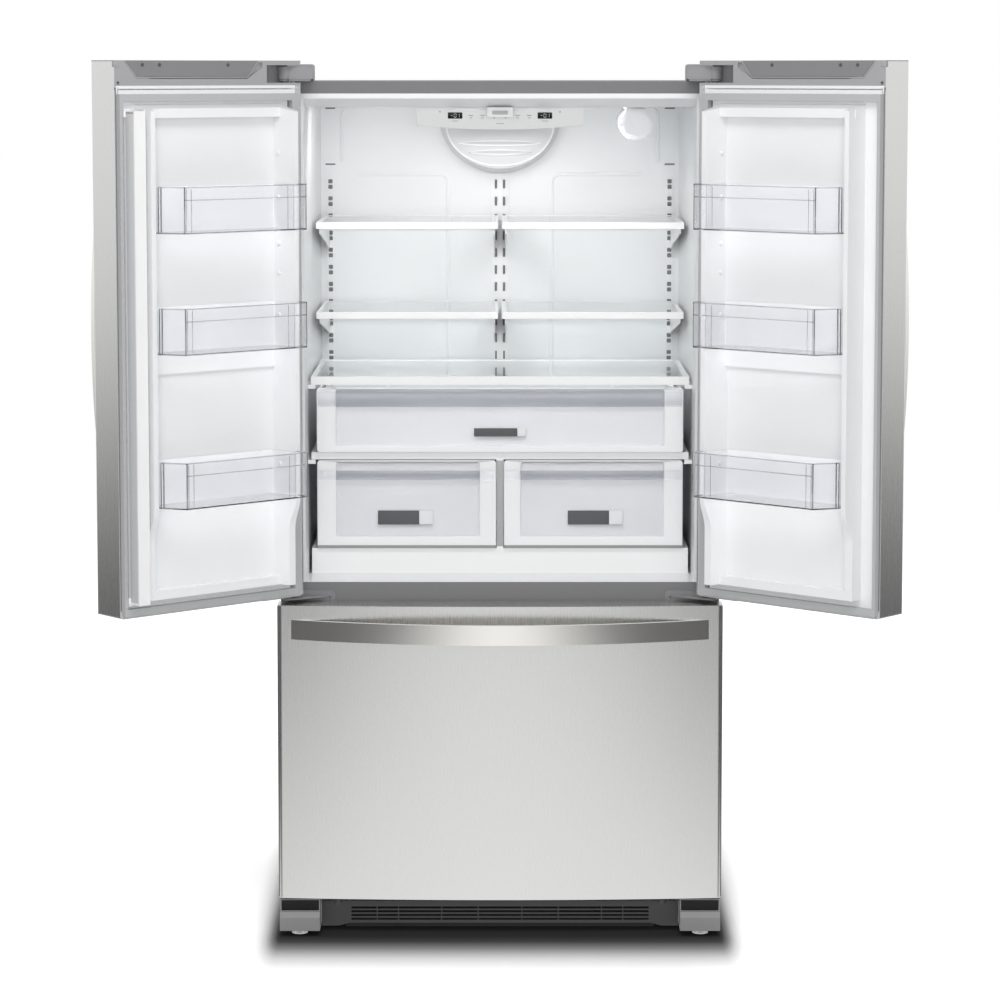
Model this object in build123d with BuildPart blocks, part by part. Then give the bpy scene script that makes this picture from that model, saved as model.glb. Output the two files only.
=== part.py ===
from build123d import *
from math import cos, radians, sin
import os

# A french door refrigerator: two fresh food doors over a bottom freezer drawer.
# Frame: +X to the viewer's right, +Y to the back, +Z up, origin on the floor at the
# middle of the whole part with its two doors standing open. Millimetres.

os.makedirs("parts", exist_ok=True)

# ---------------------------------------------------------------- Sizes

# Cabinet
cabinet_width = 899.0
cabinet_depth = 730.0
cabinet_top = 1741.0
cabinet_base = 75.0  # underside of the insulated body
front_y = -182.0  # front plane of the cabinet
steel = 1.0  # outer sheet
front_lip = 2.5  # hemmed front flanges of shell, rail and liners
flange_width = 25.0
side_skirt = 25.0  # the shell's sides reach this far below the insulated body
liner_wall = 2.5
seat_gap = 0.3  # between a piece and what carries it
rebate = 4.0  # ledge that a pane rests on

# Fresh food compartment: its floor, and the walls from the cabinet's outside to its liner
fridge_floor = 718.0
fridge_side = 51.5
fridge_back = 90.0
fridge_roof = 53.0
throat_rise = 18.0  # the ceiling slopes up to the opening's front edge
throat_depth = 60.0
rail_height = 73.0  # steel rail between the two compartments

# Freezer compartment
freezer_side = 55.5
freezer_back = 130.0
freezer_base = 37.0
machine_depth = 255.0  # machine compartment behind the freezer, at the bottom
machine_height = 330.0  # its top above the floor
step_wall = 45.0  # insulation over and in front of the machine compartment

# Doors, in door coordinates: u from the hinge edge, w inwards from the flange plane
side_overhang = 3.0  # doors and drawer front stand past the cabinet's sides
door_split = 3.5  # half the gap between the closed doors
door_drop = 18.0  # the doors reach below the compartment's floor
door_rise = 41.0  # and above the cabinet's top
door_gap = 14.0  # flange plane to cabinet front
edge_thickness = 62.0
bow = 18.0  # how far the middle of the front stands proud of its ends
hinge_inset = 20.0  # hinge axis from the door's hinge edge
hinge_depth = 26.0  # hinge axis behind the flange plane
open_angle = 139.0
corner_radius = 10.0
return_width = 15.0  # skin folded round onto the inner face
flange_proud = 1.5  # liner flange over the flange plane
cap_height = 52.0  # top end cap, inside the skin
cap_face = 49.0  # top end cap, on the inner face
low_cap = 12.0  # bottom end cap
cap_lip = 2.0
notch_drop = 3.0  # room in the top cap for the hinge arm, from the cabinet's top
notch_roof = 9.0
notch_length = 84.0
notch_depth = 41.0
socket_depth = 26.0  # pin sockets, from the cap's foot or the door's bottom
socket_floor = 2.0

# Door liner and its bins
plug_near = 57.0
plug_edge = 44.0  # door's free edge to the plug
plug_foot = 33.0  # plug above the door's bottom
plug_head = 85.0  # plug below the door's top
plug_slope = 22.0  # fall of the plug's top
slope_reach = 100.0  # and how far it falls over
near_dike = 70.0  # crest heights over the flange plane
far_dike = 54.0
near_foot = 27.0  # width of each dike at the pocket's floor
far_foot = 25.0
crest = 10.0  # width of each dike at its crest
draft = 3.0  # slope of the dikes' outer walls
pocket_floor = 12.0
pocket_step = 6.0
step_drop = 42.0  # the pocket's step below the middle bin
near_low_dike = 52.0  # crest heights below the lowest bin
far_low_dike = 30.0
sill_height = 18.0  # walls across the pocket's ends
lintel_height = 26.0
lintel_reach = 35.0
dike_curve_low = 112.0  # above the plug's foot
dike_curve_high = 181.0
bin_front = 103.0
bin_slack = 6.0  # beside the far dike's crest
bin_slant = 20.0  # and from its foot to the bins' front
bin_wall = 2.0
bin_height = 90.0
bin_lift = 183.0  # lowest bin above the plug's foot
bin_shares = [0.0, 0.383, 0.6825]  # bins over the room between the lowest bin and the plug's top

# Gaskets
gasket_width = 14.0
gasket_top = 13.5
gasket_near = 17.0
gasket_foot = 4.0  # above the door's bottom
gasket_head = 16.0  # below the cap's face
gasket_edge = 3.0  # from the door's free edge
gasket_far_width = 7.3

# Mullion flap on the left door
flap_width = 26.0
flap_gap = 4.0  # to the door liner's plug
flap_pivot_w = 14.0
flap_low = 2.0
flap_high = 46.0
flap_foot = 4.0  # below the plug's foot
flap_head = 12.0  # below the plug's top
knuckle_radius = 3.2
knuckle_length = 12.0
flap_pin_radius = 1.8
flap_pin_reach = 8.0
flap_pin_bore = 9.0
lug_height = 3.5
lug_gap = 0.5

# Hinges
top_pin_radius = 5.0
center_pin_radius = 6.0
pin_clearance = 0.1
top_socket = 10.0
low_socket = 11.0
arm_thickness = 4.0
arm_radius = 14.0
plate_reach = 58.0  # top hinge plate on the cabinet
cover_inner = 55.5  # hinge cover from the pin, towards the middle
cover_outer = 13.5
cover_reach = 62.0  # hinge cover behind the cabinet's front
cover_rise = 34.0
cover_wall = 2.0
strap_thickness = 3.0
strap_height = 24.0
strap_reach = 94.5  # center hinge's strap from the pin, towards the middle
strap_drop = 23.0  # strap's lower edge below the doors
strap_corner = 9.0
plate_drop = 12.0  # plate's lower face below the doors

# Freezer drawer front
drawer_lift = 2.0  # above the insulated body's underside
drawer_gap = 18.0  # below the doors

# Handles
handle_width = 40.0
handle_stand = 54.0
drawer_handle_stand = 60.0
handle_thickness = 10.0
handle_foot = 125.0  # door handle's lower end above the door's bottom
handle_head = 107.0  # and its upper end below the door's top
handle_edge = 50.0  # handle's middle line from the door's free edge
drawer_handle_end = 23.5  # from the drawer front's side
drawer_handle_drop = 49.0  # below the drawer front's top

# Shelves
ladder_inset = 21.0  # side ladders' middle from the side walls
ladder_width = 14.0
center_ladder_width = 36.0
ladder_thickness = 4.0
ladder_foot = 11.0  # below the drawer cover's top
ladder_gap = 13.0  # side ladders below the light shield
center_ladder_gap = 1.0
slot_pitch = 38.1
slot_width = 7.0
slot_height = 22.0
slot_depth = 3.0
top_slot = 13.0
shelf_lift = 8.0  # shelf's top above the middle of its slot
shelf_depth = 340.0
shelf_back_gap = 30.0
shelf_side_gap = 9.0
shelf_inner = 4.0
shelf_bar = 14.0
glass_thickness = 4.0
arm_plate = 3.0
arm_root = 62.0
arm_tip = 10.0
arm_inset = 8.0
rim = 12.0  # width of a shelf's frame
glass_seat = 5.0  # pane's underside below the frame's top edge

# Drawers, and the glass covers over them
drawer_side_gap = 18.0
center_gap = 8.0
drawer_length = 390.0
drawer_front_y = 105.0  # behind the cabinet front
panel_thickness = 7.0
tray_wall = 2.5
crisper_lift = 54.0
crisper_height = 185.0
crisper_cover_gap = 15.7  # crisper's top to its cover's top
crisper_cover_height = 15.4
crisper_setback = 10.0
deli_height = 135.0
cover_gap = 23.0  # wide drawer's top to its cover's top
cover_height = 17.0
cover_side_gap = 6.0
cover_depth = 400.0
ledge_height = 8.0
grip_level = 144.0  # crisper's grip band above its bottom
grip_height = 20.0
grip_reach = 8.0
grip_inset = 12.0

# Base
channel_gap = 3.5  # side channels inside the cabinet's sides
channel_width = 34.0
beam_height = 37.0
beam_web = 3.0
front_beam = 25.0
front_beam_depth = 30.0
wheel_radius = 22.0
wheel_width = 24.0
axle_radius = 4.0
front_wheel_lift = 2.0
front_axle = 90.0  # behind the cabinet's front
rear_axle = 70.0  # before the cabinet's back
leg_inset = 35.0
leg_y = -55.0
leg_radius = 16.0
leg_height = 8.0
stem_radius = 5.0
pan_drop = 12.0

half = cabinet_width / 2
body_half = half + side_overhang
back_y = front_y + cabinet_depth
fridge_half = half - fridge_side
fridge_depth = cabinet_depth - fridge_back
fridge_ceiling = cabinet_top - fridge_roof
inner_back = front_y + fridge_depth
rail_bottom = fridge_floor - rail_height
rail_top = fridge_floor
freezer_half = half - freezer_side
freezer_depth = cabinet_depth - freezer_back
freezer_floor = cabinet_base + freezer_base
machine_front = back_y - machine_depth
step_y = machine_front - step_wall  # front of the freezer liner's rear step
step_z = machine_height + step_wall

door_width = body_half - door_split
door_bottom = fridge_floor - door_drop
door_top = cabinet_top + door_rise
hinge_x = body_half - hinge_inset
hinge_y = front_y - door_gap - hinge_depth
cap_bottom = door_top - cap_height
cap_face_bottom = door_top - cap_face
notch_bottom = cabinet_top - notch_drop
notch_top = door_top - notch_roof
plug_far = door_width - plug_edge
plug_bottom = door_bottom + plug_foot
plug_top = door_top - plug_head
lowest_bin = plug_bottom + bin_lift
bin_lows = [lowest_bin + share * (plug_top - lowest_bin) for share in bin_shares]
step_level = bin_lows[1] - step_drop
dike_curve_bottom = plug_bottom + dike_curve_low
dike_curve_top = plug_bottom + dike_curve_high
gasket_low = door_bottom + gasket_foot
gasket_high = cap_face_bottom - gasket_head
gasket_far = door_width - gasket_edge
flap_back = plug_far + flap_gap
flap_face = flap_back + flap_width
flap_bottom = plug_bottom - flap_foot
flap_top = plug_top - flap_head
drawer_bottom = cabinet_base + drawer_lift
drawer_top = door_bottom - drawer_gap

drawer_half = fridge_half - drawer_side_gap
cover_half = fridge_half - cover_side_gap
crisper_bottom = fridge_floor + crisper_lift
crisper_top = crisper_bottom + crisper_height
crisper_cover_top = crisper_top + crisper_cover_gap
deli_bottom = crisper_cover_top + seat_gap
deli_top = deli_bottom + deli_height
cover_top = deli_top + cover_gap
drawer_face = front_y + drawer_front_y
cover_back = drawer_face + cover_depth


def block(low, high, mode=Mode.ADD):
    """A box between its lowest and highest corners, in the part being built."""
    size = [b - a for a, b in zip(low, high)]
    middle = [(a + b) / 2 for a, b in zip(low, high)]
    with Locations(tuple(middle)):
        Box(*size, mode=mode)


def pair(low, high, mode=Mode.ADD):
    """The same box on both sides of the middle plane."""
    block(low, high, mode)
    block((-high[0], low[1], low[2]), (-low[0], high[1], high[2]), mode)


def rod(center, radius, low, high, mode=Mode.ADD):
    """An upright cylinder between two levels."""
    with Locations((center[0], center[1], (low + high) / 2)):
        Cylinder(radius, high - low, mode=mode)


def throat(grow):
    """The sloped entry over the fresh food ceiling, grown by a wall."""
    high = fridge_ceiling + throat_rise + grow
    with BuildPart() as wedge:
        with BuildSketch(Plane.YZ.offset(-fridge_half - grow)):
            with BuildLine():
                Polyline(
                    (front_y, fridge_ceiling - 1),
                    (front_y, high),
                    (front_y + front_lip, high),
                    (front_y + throat_depth, fridge_ceiling + grow),
                    (front_y + throat_depth, fridge_ceiling - 1),
                    close=True,
                )
            make_face()
        extrude(amount=2 * (fridge_half + grow))
    return wedge.part


def save(part, name):
    """Label a finished piece and write its STEP file."""
    part.label = name
    export_step(part, f"parts/{name}.step")


# ---------------------------------------------------------------- Cabinet

# Outer shell: one sheet folded over the sides and top, with hemmed front flanges.
with BuildPart() as cabinet_shell:
    block((-half, front_y, cabinet_base - side_skirt), (half, back_y, cabinet_top))
    block(
        (-half + steel, front_y + front_lip, cabinet_base - side_skirt),
        (half - steel, back_y, cabinet_top - steel),
        Mode.SUBTRACT,
    )
    block(
        (-half + flange_width, front_y, cabinet_base - side_skirt),
        (half - flange_width, front_y + front_lip, cabinet_top - flange_width),
        Mode.SUBTRACT,
    )
    block(
        (-half + steel, front_y, cabinet_base - side_skirt),
        (half - steel, front_y + front_lip, rail_top),
        Mode.SUBTRACT,
    )
save(cabinet_shell.part, "cabinet_shell")

# Rear sheet over the insulation, above the machine compartment.
with BuildPart() as back_panel:
    block(
        (-half + steel, back_y - steel, machine_height),
        (half - steel, back_y, cabinet_top - steel),
    )
save(back_panel.part, "back_panel")

# Foamed insulation, shaped by the two liners and the machine compartment.
with BuildPart() as insulation_foam:
    block(
        (-half + steel, front_y + front_lip, cabinet_base),
        (half - steel, back_y - steel, cabinet_top - steel),
    )
    block(
        (-fridge_half - liner_wall, front_y, fridge_floor - liner_wall),
        (fridge_half + liner_wall, inner_back + liner_wall, fridge_ceiling + liner_wall),
        Mode.SUBTRACT,
    )
    add(throat(liner_wall), mode=Mode.SUBTRACT)
    block(
        (-freezer_half - liner_wall, front_y, freezer_floor - liner_wall),
        (freezer_half + liner_wall, step_y + liner_wall, rail_bottom + liner_wall),
        Mode.SUBTRACT,
    )
    block(
        (-freezer_half - liner_wall, front_y, step_z - liner_wall),
        (
            freezer_half + liner_wall,
            front_y + freezer_depth + liner_wall,
            rail_bottom + liner_wall,
        ),
        Mode.SUBTRACT,
    )
    block(
        (-half, machine_front, cabinet_base),
        (half, back_y, machine_height),
        Mode.SUBTRACT,
    )
save(insulation_foam.part, "insulation_foam")

# Fresh food liner with its front flange, side ledges for the covers and drawers.
ledge_inner = drawer_half + 3
cover_ledge = cover_top - cover_height
crisper_ledge = crisper_cover_top - crisper_cover_height
with BuildPart() as fridge_liner:
    block(
        (-fridge_half - liner_wall, front_y + front_lip, fridge_floor - liner_wall),
        (fridge_half + liner_wall, inner_back + liner_wall, fridge_ceiling + liner_wall),
    )
    add(throat(liner_wall))
    block(
        (-half + flange_width, front_y, fridge_floor),
        (half - flange_width, front_y + front_lip, cabinet_top - flange_width),
    )
    block(
        (-fridge_half, front_y, fridge_floor),
        (fridge_half, inner_back, fridge_ceiling),
        Mode.SUBTRACT,
    )
    add(throat(0), mode=Mode.SUBTRACT)
    for level in (cover_ledge, crisper_ledge):
        pair(
            (ledge_inner, drawer_face, level - ledge_height),
            (fridge_half, cover_back, level),
        )
save(fridge_liner.part, "fridge_liner")

# Freezer liner, stepped over the machine compartment.
with BuildPart() as freezer_liner:
    block(
        (-freezer_half - liner_wall, front_y + front_lip, freezer_floor - liner_wall),
        (freezer_half + liner_wall, step_y + liner_wall, rail_bottom + liner_wall),
    )
    block(
        (-freezer_half - liner_wall, front_y + front_lip, step_z - liner_wall),
        (
            freezer_half + liner_wall,
            front_y + freezer_depth + liner_wall,
            rail_bottom + liner_wall,
        ),
    )
    block(
        (-half + steel, front_y, cabinet_base),
        (half - steel, front_y + front_lip, rail_bottom),
    )
    block(
        (-freezer_half, front_y, freezer_floor),
        (freezer_half, step_y, rail_bottom),
        Mode.SUBTRACT,
    )
    block(
        (-freezer_half, front_y + front_lip, step_z),
        (freezer_half, front_y + freezer_depth, rail_bottom),
        Mode.SUBTRACT,
    )
save(freezer_liner.part, "freezer_liner")

# Steel rail across the front between the two compartments.
with BuildPart() as center_rail:
    block(
        (-half + steel, front_y, rail_bottom),
        (half - steel, front_y + front_lip, rail_top),
    )
save(center_rail.part, "center_rail")

# Top hinges: a plate on the cabinet's top with an arm out to a pin over each door.
arm_top = cabinet_top + arm_thickness
cover_low = hinge_x - cover_inner  # hinge cover's sides, across the cabinet
cover_high = hinge_x + cover_outer
nose_top = notch_top - 3
arm_back = 4.0  # the arm's root behind the cabinet's front
arm_inner = 12.0  # the arm's outer side from the pin, towards the middle
arm_front = 10.0  # the arm's front before the pin


def hinge_arm(low, high, clear):
    """The arm from the cabinet's front to the pin, kept inside the door's notch."""
    with BuildPart() as arm:
        with BuildSketch(Plane.XY.offset(low)):
            with BuildLine():
                Polyline(
                    (-hinge_x + arm_front, hinge_y - arm_front),
                    (-cover_low - clear, hinge_y - arm_front),
                    (-cover_low - clear, front_y + arm_back),
                    (-hinge_x + arm_inner, front_y + arm_back),
                    (-hinge_x + arm_inner, hinge_y + arm_inner),
                    close=True,
                )
            make_face()
            with Locations((-hinge_x, hinge_y)):
                Circle(arm_radius - clear / 2)
        extrude(amount=high - low)
    return arm.part


plate_inset = 4.0
bolt_inset = 18.0
bolt_radius = 6.0
pin_foot = cap_bottom - socket_depth + 2 * socket_floor
with BuildPart() as left_top_hinge:
    add(hinge_arm(cabinet_top, arm_top, plate_inset))
    block(
        (-cover_high + plate_inset, front_y + arm_back, cabinet_top),
        (-cover_low - plate_inset, front_y + plate_reach, arm_top),
    )
    rod((-hinge_x, hinge_y), top_pin_radius, pin_foot, cabinet_top + 1)
    bolt_y = front_y + plate_reach - bolt_inset
    for x in (-cover_high + bolt_inset, -cover_low - bolt_inset):
        rod((x, bolt_y), bolt_radius, arm_top, arm_top + bolt_radius)

# Center hinges: a strap on the rail, a plate under the door and an upright pin.
strap_low = door_bottom - strap_drop
plate_low = door_bottom - plate_drop
center_plate_radius = 11.0
washer_radius = 8.0
strap_end = hinge_x + 5
with BuildPart() as left_center_hinge:
    block(
        (-strap_end, front_y - strap_thickness, strap_low),
        (-hinge_x + strap_reach, front_y, strap_low + strap_height),
    )
    fillet(left_center_hinge.edges().filter_by(Axis.Y).sort_by(Axis.X)[-2:], strap_corner)
    with BuildSketch(Plane.XY.offset(plate_low)):
        with BuildLine():
            Polyline(
                (-strap_end, front_y - 2),
                (-hinge_x - center_plate_radius, hinge_y),
                (-hinge_x + 6, hinge_y - arm_front),
                (-hinge_x + strap_reach - 12, front_y - 2),
                close=True,
            )
        make_face()
        with Locations((-hinge_x, hinge_y)):
            Circle(center_plate_radius)
    extrude(amount=arm_thickness)
    rod((-hinge_x, hinge_y), washer_radius, plate_low + arm_thickness, door_bottom - seat_gap)
    pin_head = door_bottom + socket_depth - 2 * socket_floor
    rod((-hinge_x, hinge_y), center_pin_radius, plate_low, pin_head)

with BuildPart() as door_hinges:
    add(left_top_hinge.part)
    add(left_center_hinge.part)
    mirror(left_top_hinge.part, about=Plane.YZ)
    mirror(left_center_hinge.part, about=Plane.YZ)
save(door_hinges.part, "door_hinges")

# Hinge covers: a rounded cap behind the door and a nose inside the door's notch.
cover_front = 1.0  # the cap's front wall behind the cabinet's front
cap_room = 20.0  # hollow over the hinge plate
with BuildPart() as left_hinge_cover:
    block(
        (-cover_high, front_y + cover_front, cabinet_top),
        (-cover_low, front_y + cover_reach, cabinet_top + cover_rise),
    )
    fillet(left_hinge_cover.edges().filter_by(Axis.Z), 8)
    fillet(left_hinge_cover.faces().sort_by(Axis.Z)[-1].edges(), 5)
    add(hinge_arm(arm_top + seat_gap, nose_top, 0))
    block(
        (-cover_high + cover_wall, front_y + cover_front + cover_wall, cabinet_top),
        (-cover_low - cover_wall, front_y + cover_reach - cover_wall, cabinet_top + cap_room),
        Mode.SUBTRACT,
    )
    block(
        (-hinge_x + arm_back, front_y - 1, cabinet_top),
        (-cover_low - cover_wall, front_y + arm_back + 1, arm_top + seat_gap),
        Mode.SUBTRACT,
    )
with BuildPart() as hinge_covers:
    add(left_hinge_cover.part)
    mirror(left_hinge_cover.part, about=Plane.YZ)
save(hinge_covers.part, "hinge_covers")

# ---------------------------------------------------------------- Shelves

# Ladder strips on the back wall, with slots for the shelf arms.
shield_drop = 151.0  # light shield's lower edge below the ceiling
shield_low = fridge_ceiling - shield_drop
ladder_x = fridge_half - ladder_inset
ladder_front = inner_back - ladder_thickness
ladder_bottom = cover_top - ladder_foot
ladder_top = shield_low - ladder_gap
center_ladder_top = shield_low - center_ladder_gap
slot_count = int((ladder_top - ladder_bottom - slot_height) / slot_pitch)
slot_levels = [ladder_top - top_slot - index * slot_pitch for index in range(slot_count)]
with BuildPart() as shelf_ladders:
    for x, width, top in (
        (-ladder_x, ladder_width, ladder_top),
        (0, center_ladder_width, center_ladder_top),
        (ladder_x, ladder_width, ladder_top),
    ):
        block((x - width / 2, ladder_front, ladder_bottom), (x + width / 2, inner_back, top))
    for level in slot_levels:
        for x in (-ladder_x, -center_ladder_width / 4, center_ladder_width / 4, ladder_x):
            block(
                (x - slot_width / 2, ladder_front, level - slot_height / 2),
                (x + slot_width / 2, ladder_front + slot_depth, level + slot_height / 2),
                Mode.SUBTRACT,
            )
save(shelf_ladders.part, "shelf_ladders")

# Four half-width glass shelves on cantilever arms, hooked in at two of the slots.
upper_shelf = slot_levels[slot_count // 5] + shelf_lift
lower_shelf = slot_levels[7 * slot_count // 10] + shelf_lift
shelf_levels = (lower_shelf, upper_shelf)
shelf_back = inner_back - shelf_back_gap
shelf_front = shelf_back - shelf_depth
shelf_outer = fridge_half - shelf_side_gap
shelf_sides = ((-shelf_outer, -shelf_inner), (shelf_inner, shelf_outer))


def glass_pane(low, high, top, mode=Mode.ADD):
    """A pane inside the rim of a frame, below its top edge."""
    edge = rim - rebate
    block(
        (low[0] + edge, low[1] + edge, top - glass_seat),
        (high[0] - edge, high[1] - edge, top - glass_seat + glass_thickness),
        mode,
    )


def glazed_frame(low, high, top, height):
    """A plastic frame with a rebate for its pane."""
    edge = rim - rebate
    block((low[0], low[1], top - height), (high[0], high[1], top))
    block(
        (low[0] + rim, low[1] + rim, top - height),
        (high[0] - rim, high[1] - rim, top),
        Mode.SUBTRACT,
    )
    block(
        (low[0] + edge, low[1] + edge, top - glass_seat),
        (high[0] - edge, high[1] - edge, top),
        Mode.SUBTRACT,
    )


def shelf_arm(x, level):
    """A tapered arm under a shelf, hooked into the ladder's slots."""
    top = level - shelf_bar
    tip_y = shelf_front + rebate
    with BuildPart() as arm:
        with BuildSketch(Plane.YZ.offset(x - arm_plate / 2)):
            with BuildLine():
                Polyline(
                    (tip_y, top + 1),
                    (ladder_front, top + 1),
                    (ladder_front, top - arm_root),
                    (shelf_back - arm_root, top - 0.75 * arm_root),
                    (tip_y, top - arm_tip),
                    close=True,
                )
            make_face()
        extrude(amount=arm_plate)
    return arm.part


with BuildPart() as shelf_frames:
    for level in shelf_levels:
        for left, right in shelf_sides:
            glazed_frame((left, shelf_front), (right, shelf_back), level, shelf_bar)
            for x in (left + arm_inset, right - arm_inset):
                add(shelf_arm(x, level))
save(shelf_frames.part, "shelf_frames")

# Covers over the wide drawer and over the two crispers, and the crispers' floor rails.
crisper_cover_y = drawer_face + crisper_setback
rail_head = crisper_bottom - seat_gap
bulkhead = 4.0
center_foot = 12.0  # how far the middle floor rail reaches under each crisper
side_foot = 11.0
with BuildPart() as drawer_covers:
    glazed_frame((-cover_half, drawer_face), (cover_half, cover_back), cover_top, cover_height)
    glazed_frame(
        (-cover_half, crisper_cover_y),
        (cover_half, cover_back),
        crisper_cover_top,
        crisper_cover_height,
    )
    block(
        (-center_gap + 1, crisper_cover_y, fridge_floor),
        (center_gap - 1, cover_back, crisper_ledge),
    )
    pair(
        (ledge_inner - side_foot, crisper_cover_y, fridge_floor),
        (cover_half, cover_back, rail_head),
    )
    block(
        (-cover_half, crisper_cover_y, fridge_floor),
        (cover_half, crisper_cover_y + bulkhead, rail_head),
    )
    block(
        (-center_gap - center_foot, crisper_cover_y, fridge_floor),
        (center_gap + center_foot, cover_back, rail_head),
    )
save(drawer_covers.part, "drawer_covers")

with BuildPart() as shelf_glass:
    for level in shelf_levels:
        for left, right in shelf_sides:
            glass_pane((left, shelf_front), (right, shelf_back), level)
    glass_pane((-cover_half, drawer_face), (cover_half, cover_back), cover_top)
    glass_pane((-cover_half, crisper_cover_y), (cover_half, cover_back), crisper_cover_top)
save(shelf_glass.part, "shelf_glass")

# ---------------------------------------------------------------- Drawers


tray_corner = 6.0


def tray(low, high, wall, base):
    """An open tray: outer box with its inside taken out from above."""
    with BuildPart() as shape:
        block(low, high)
        fillet(shape.edges().filter_by(Axis.Z), tray_corner)
        block(
            (low[0] + wall, low[1] + wall, low[2] + base),
            (high[0] - wall, high[1] - wall, high[2]),
            Mode.SUBTRACT,
        )
    return shape.part


tray_front = drawer_face + panel_thickness
tray_inset = 1.0  # trays inside the ends of their fronts
lip_reach = 3.0
lip_height = 10.0

deli_drawer = tray(
    (-drawer_half + tray_inset, tray_front, deli_bottom),
    (drawer_half - tray_inset, tray_front + drawer_length, deli_top - lip_height + 1),
    tray_wall,
    tray_wall,
)
save(deli_drawer, "deli_drawer")

with BuildPart() as deli_front:
    block((-drawer_half, drawer_face, deli_bottom), (drawer_half, tray_front, deli_top))
    block(
        (-drawer_half, drawer_face - lip_reach, deli_top - lip_height),
        (drawer_half, drawer_face, deli_top),
    )
save(deli_front.part, "deli_front")

grip_low = crisper_bottom + grip_level
crisper_face = drawer_face + lip_reach
for name, low_x, high_x in (
    ("left", -drawer_half, -center_gap),
    ("right", center_gap, drawer_half),
):
    crisper = tray(
        (low_x + tray_inset, crisper_face + panel_thickness, crisper_bottom),
        (high_x - tray_inset, crisper_face + drawer_length, crisper_top - 6),
        tray_wall,
        tray_wall,
    )
    save(crisper, f"{name}_crisper")
    with BuildPart() as crisper_front:
        block(
            (low_x, crisper_face, crisper_bottom),
            (high_x, crisper_face + panel_thickness, crisper_top - 1),
        )
        block(
            (low_x + grip_inset, crisper_face - grip_reach, grip_low),
            (high_x - grip_inset, crisper_face, grip_low + grip_height),
        )
    save(crisper_front.part, f"{name}_crisper_front")

# ---------------------------------------------------------------- Ceiling

# Control housing under the ceiling, with the guide for the mullion flap at its middle.
housing_half = 172.0
housing_drop = 38.0
housing_sag = 8.0
housing_wall = 3.0
housing_setback = 84.0
housing_depth = 146.0
guide_half = 27.0
guide_reach = 42.0
guide_drop = 20.0
housing_low = fridge_ceiling - housing_drop
housing_front = front_y + housing_setback
housing_back = housing_front + housing_depth
with BuildPart() as control_housing:
    with BuildSketch(Plane.XZ.offset(-housing_front)):
        with BuildLine():
            Polyline(
                (-housing_half, housing_low),
                (-housing_half, fridge_ceiling),
                (housing_half, fridge_ceiling),
                (housing_half, housing_low),
            )
            ThreePointArc(
                (-housing_half, housing_low),
                (0, housing_low - housing_sag),
                (housing_half, housing_low),
            )
        make_face()
    extrude(amount=housing_front - housing_back)
    block(
        (-housing_half + housing_wall, housing_front + housing_wall, housing_low),
        (
            housing_half - housing_wall,
            housing_back - housing_wall,
            fridge_ceiling - housing_wall,
        ),
        Mode.SUBTRACT,
    )
    block(
        (-guide_half, housing_front - guide_reach, fridge_ceiling - guide_drop),
        (guide_half, housing_front, fridge_ceiling),
    )
save(control_housing.part, "control_housing")

# Domed air and light shield at the top of the back wall, with two louvres.
shield_half = 134.0
shield_head = 28.0  # its widest level below the ceiling
shield_thickness = 30.0
shield_edge = 9.0
louvres = ((59.0, 92.0), (78.0, 70.0))  # below the widest level, and half their length
louvre_rise = 6.0
louvre_depth = 12.0
shield_top = fridge_ceiling - shield_head
with BuildPart() as light_shield:
    with BuildSketch(Plane.XZ.offset(-inner_back)):
        with Locations((0, shield_top)):
            Ellipse(shield_half, shield_top - shield_low)
            Rectangle(
                2 * shield_half, shield_half, align=(Align.CENTER, Align.MIN), mode=Mode.SUBTRACT
            )
    extrude(amount=shield_thickness)
    chamfer(light_shield.faces().sort_by(Axis.Y)[0].edges(), shield_edge)
    for drop, reach in louvres:
        level = shield_top - drop
        with BuildSketch(Plane.XZ.offset(-inner_back + shield_thickness)):
            with BuildLine():
                ThreePointArc((-reach, level), (0, level + louvre_rise), (reach, level))
                ThreePointArc((-reach, level), (0, level - louvre_rise), (reach, level))
            make_face()
        extrude(amount=-louvre_depth, mode=Mode.SUBTRACT)
save(light_shield.part, "light_shield")

# Water filter: a fixed head under the ceiling and a lobed cap that twists a quarter turn.
filter_inset = 117.0
filter_drop = 36.0
filter_setback = 130.0
filter_wall = 9.0
cap_radius = 36.0
cap_length = 32.0
lobe_radius = 8.0
lobe_count = 6
boss_height = 4.0
cartridge_radius = 24.0
cartridge_length = 160.0
cartridge_back = 80.0
head_length = 210.0
hanger_half = 20.0
filter_x = fridge_half - filter_inset
filter_y = front_y + filter_setback
filter_level = fridge_ceiling - filter_drop
head_y = filter_y + cap_length + 1
filter_plane = Plane(origin=(filter_x, filter_y, filter_level), x_dir=(1, 0, 0), z_dir=(0, 1, 0))
with BuildPart(filter_plane) as filter_head:
    with Locations((0, 0, cap_length + 1 + head_length / 2)):
        Cylinder(cartridge_radius + filter_wall, head_length)
        Cylinder(cartridge_radius + pin_clearance, head_length, mode=Mode.SUBTRACT)
with BuildPart() as filter_housing:
    add(filter_head.part)
    block(
        (filter_x - hanger_half, head_y, filter_level + cartridge_radius + 5),
        (filter_x + hanger_half, head_y + head_length, fridge_ceiling),
    )
save(filter_housing.part, "filter_housing")

with BuildPart(filter_plane) as filter_cap:
    with Locations((0, 0, cap_length / 2)):
        Cylinder(cap_radius - boss_height, cap_length)
    with PolarLocations(cap_radius - filter_wall, lobe_count):
        with Locations((0, 0, cap_length / 2)):
            Cylinder(lobe_radius, cap_length)
    with Locations((0, 0, -boss_height / 2)):
        Cylinder(cap_radius - filter_wall, boss_height)
    with Locations((0, 0, cap_length + cartridge_back)):
        Cylinder(cartridge_radius, cartridge_length)
save(filter_cap.part, "filter_cap")

# ---------------------------------------------------------------- Doors

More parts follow.
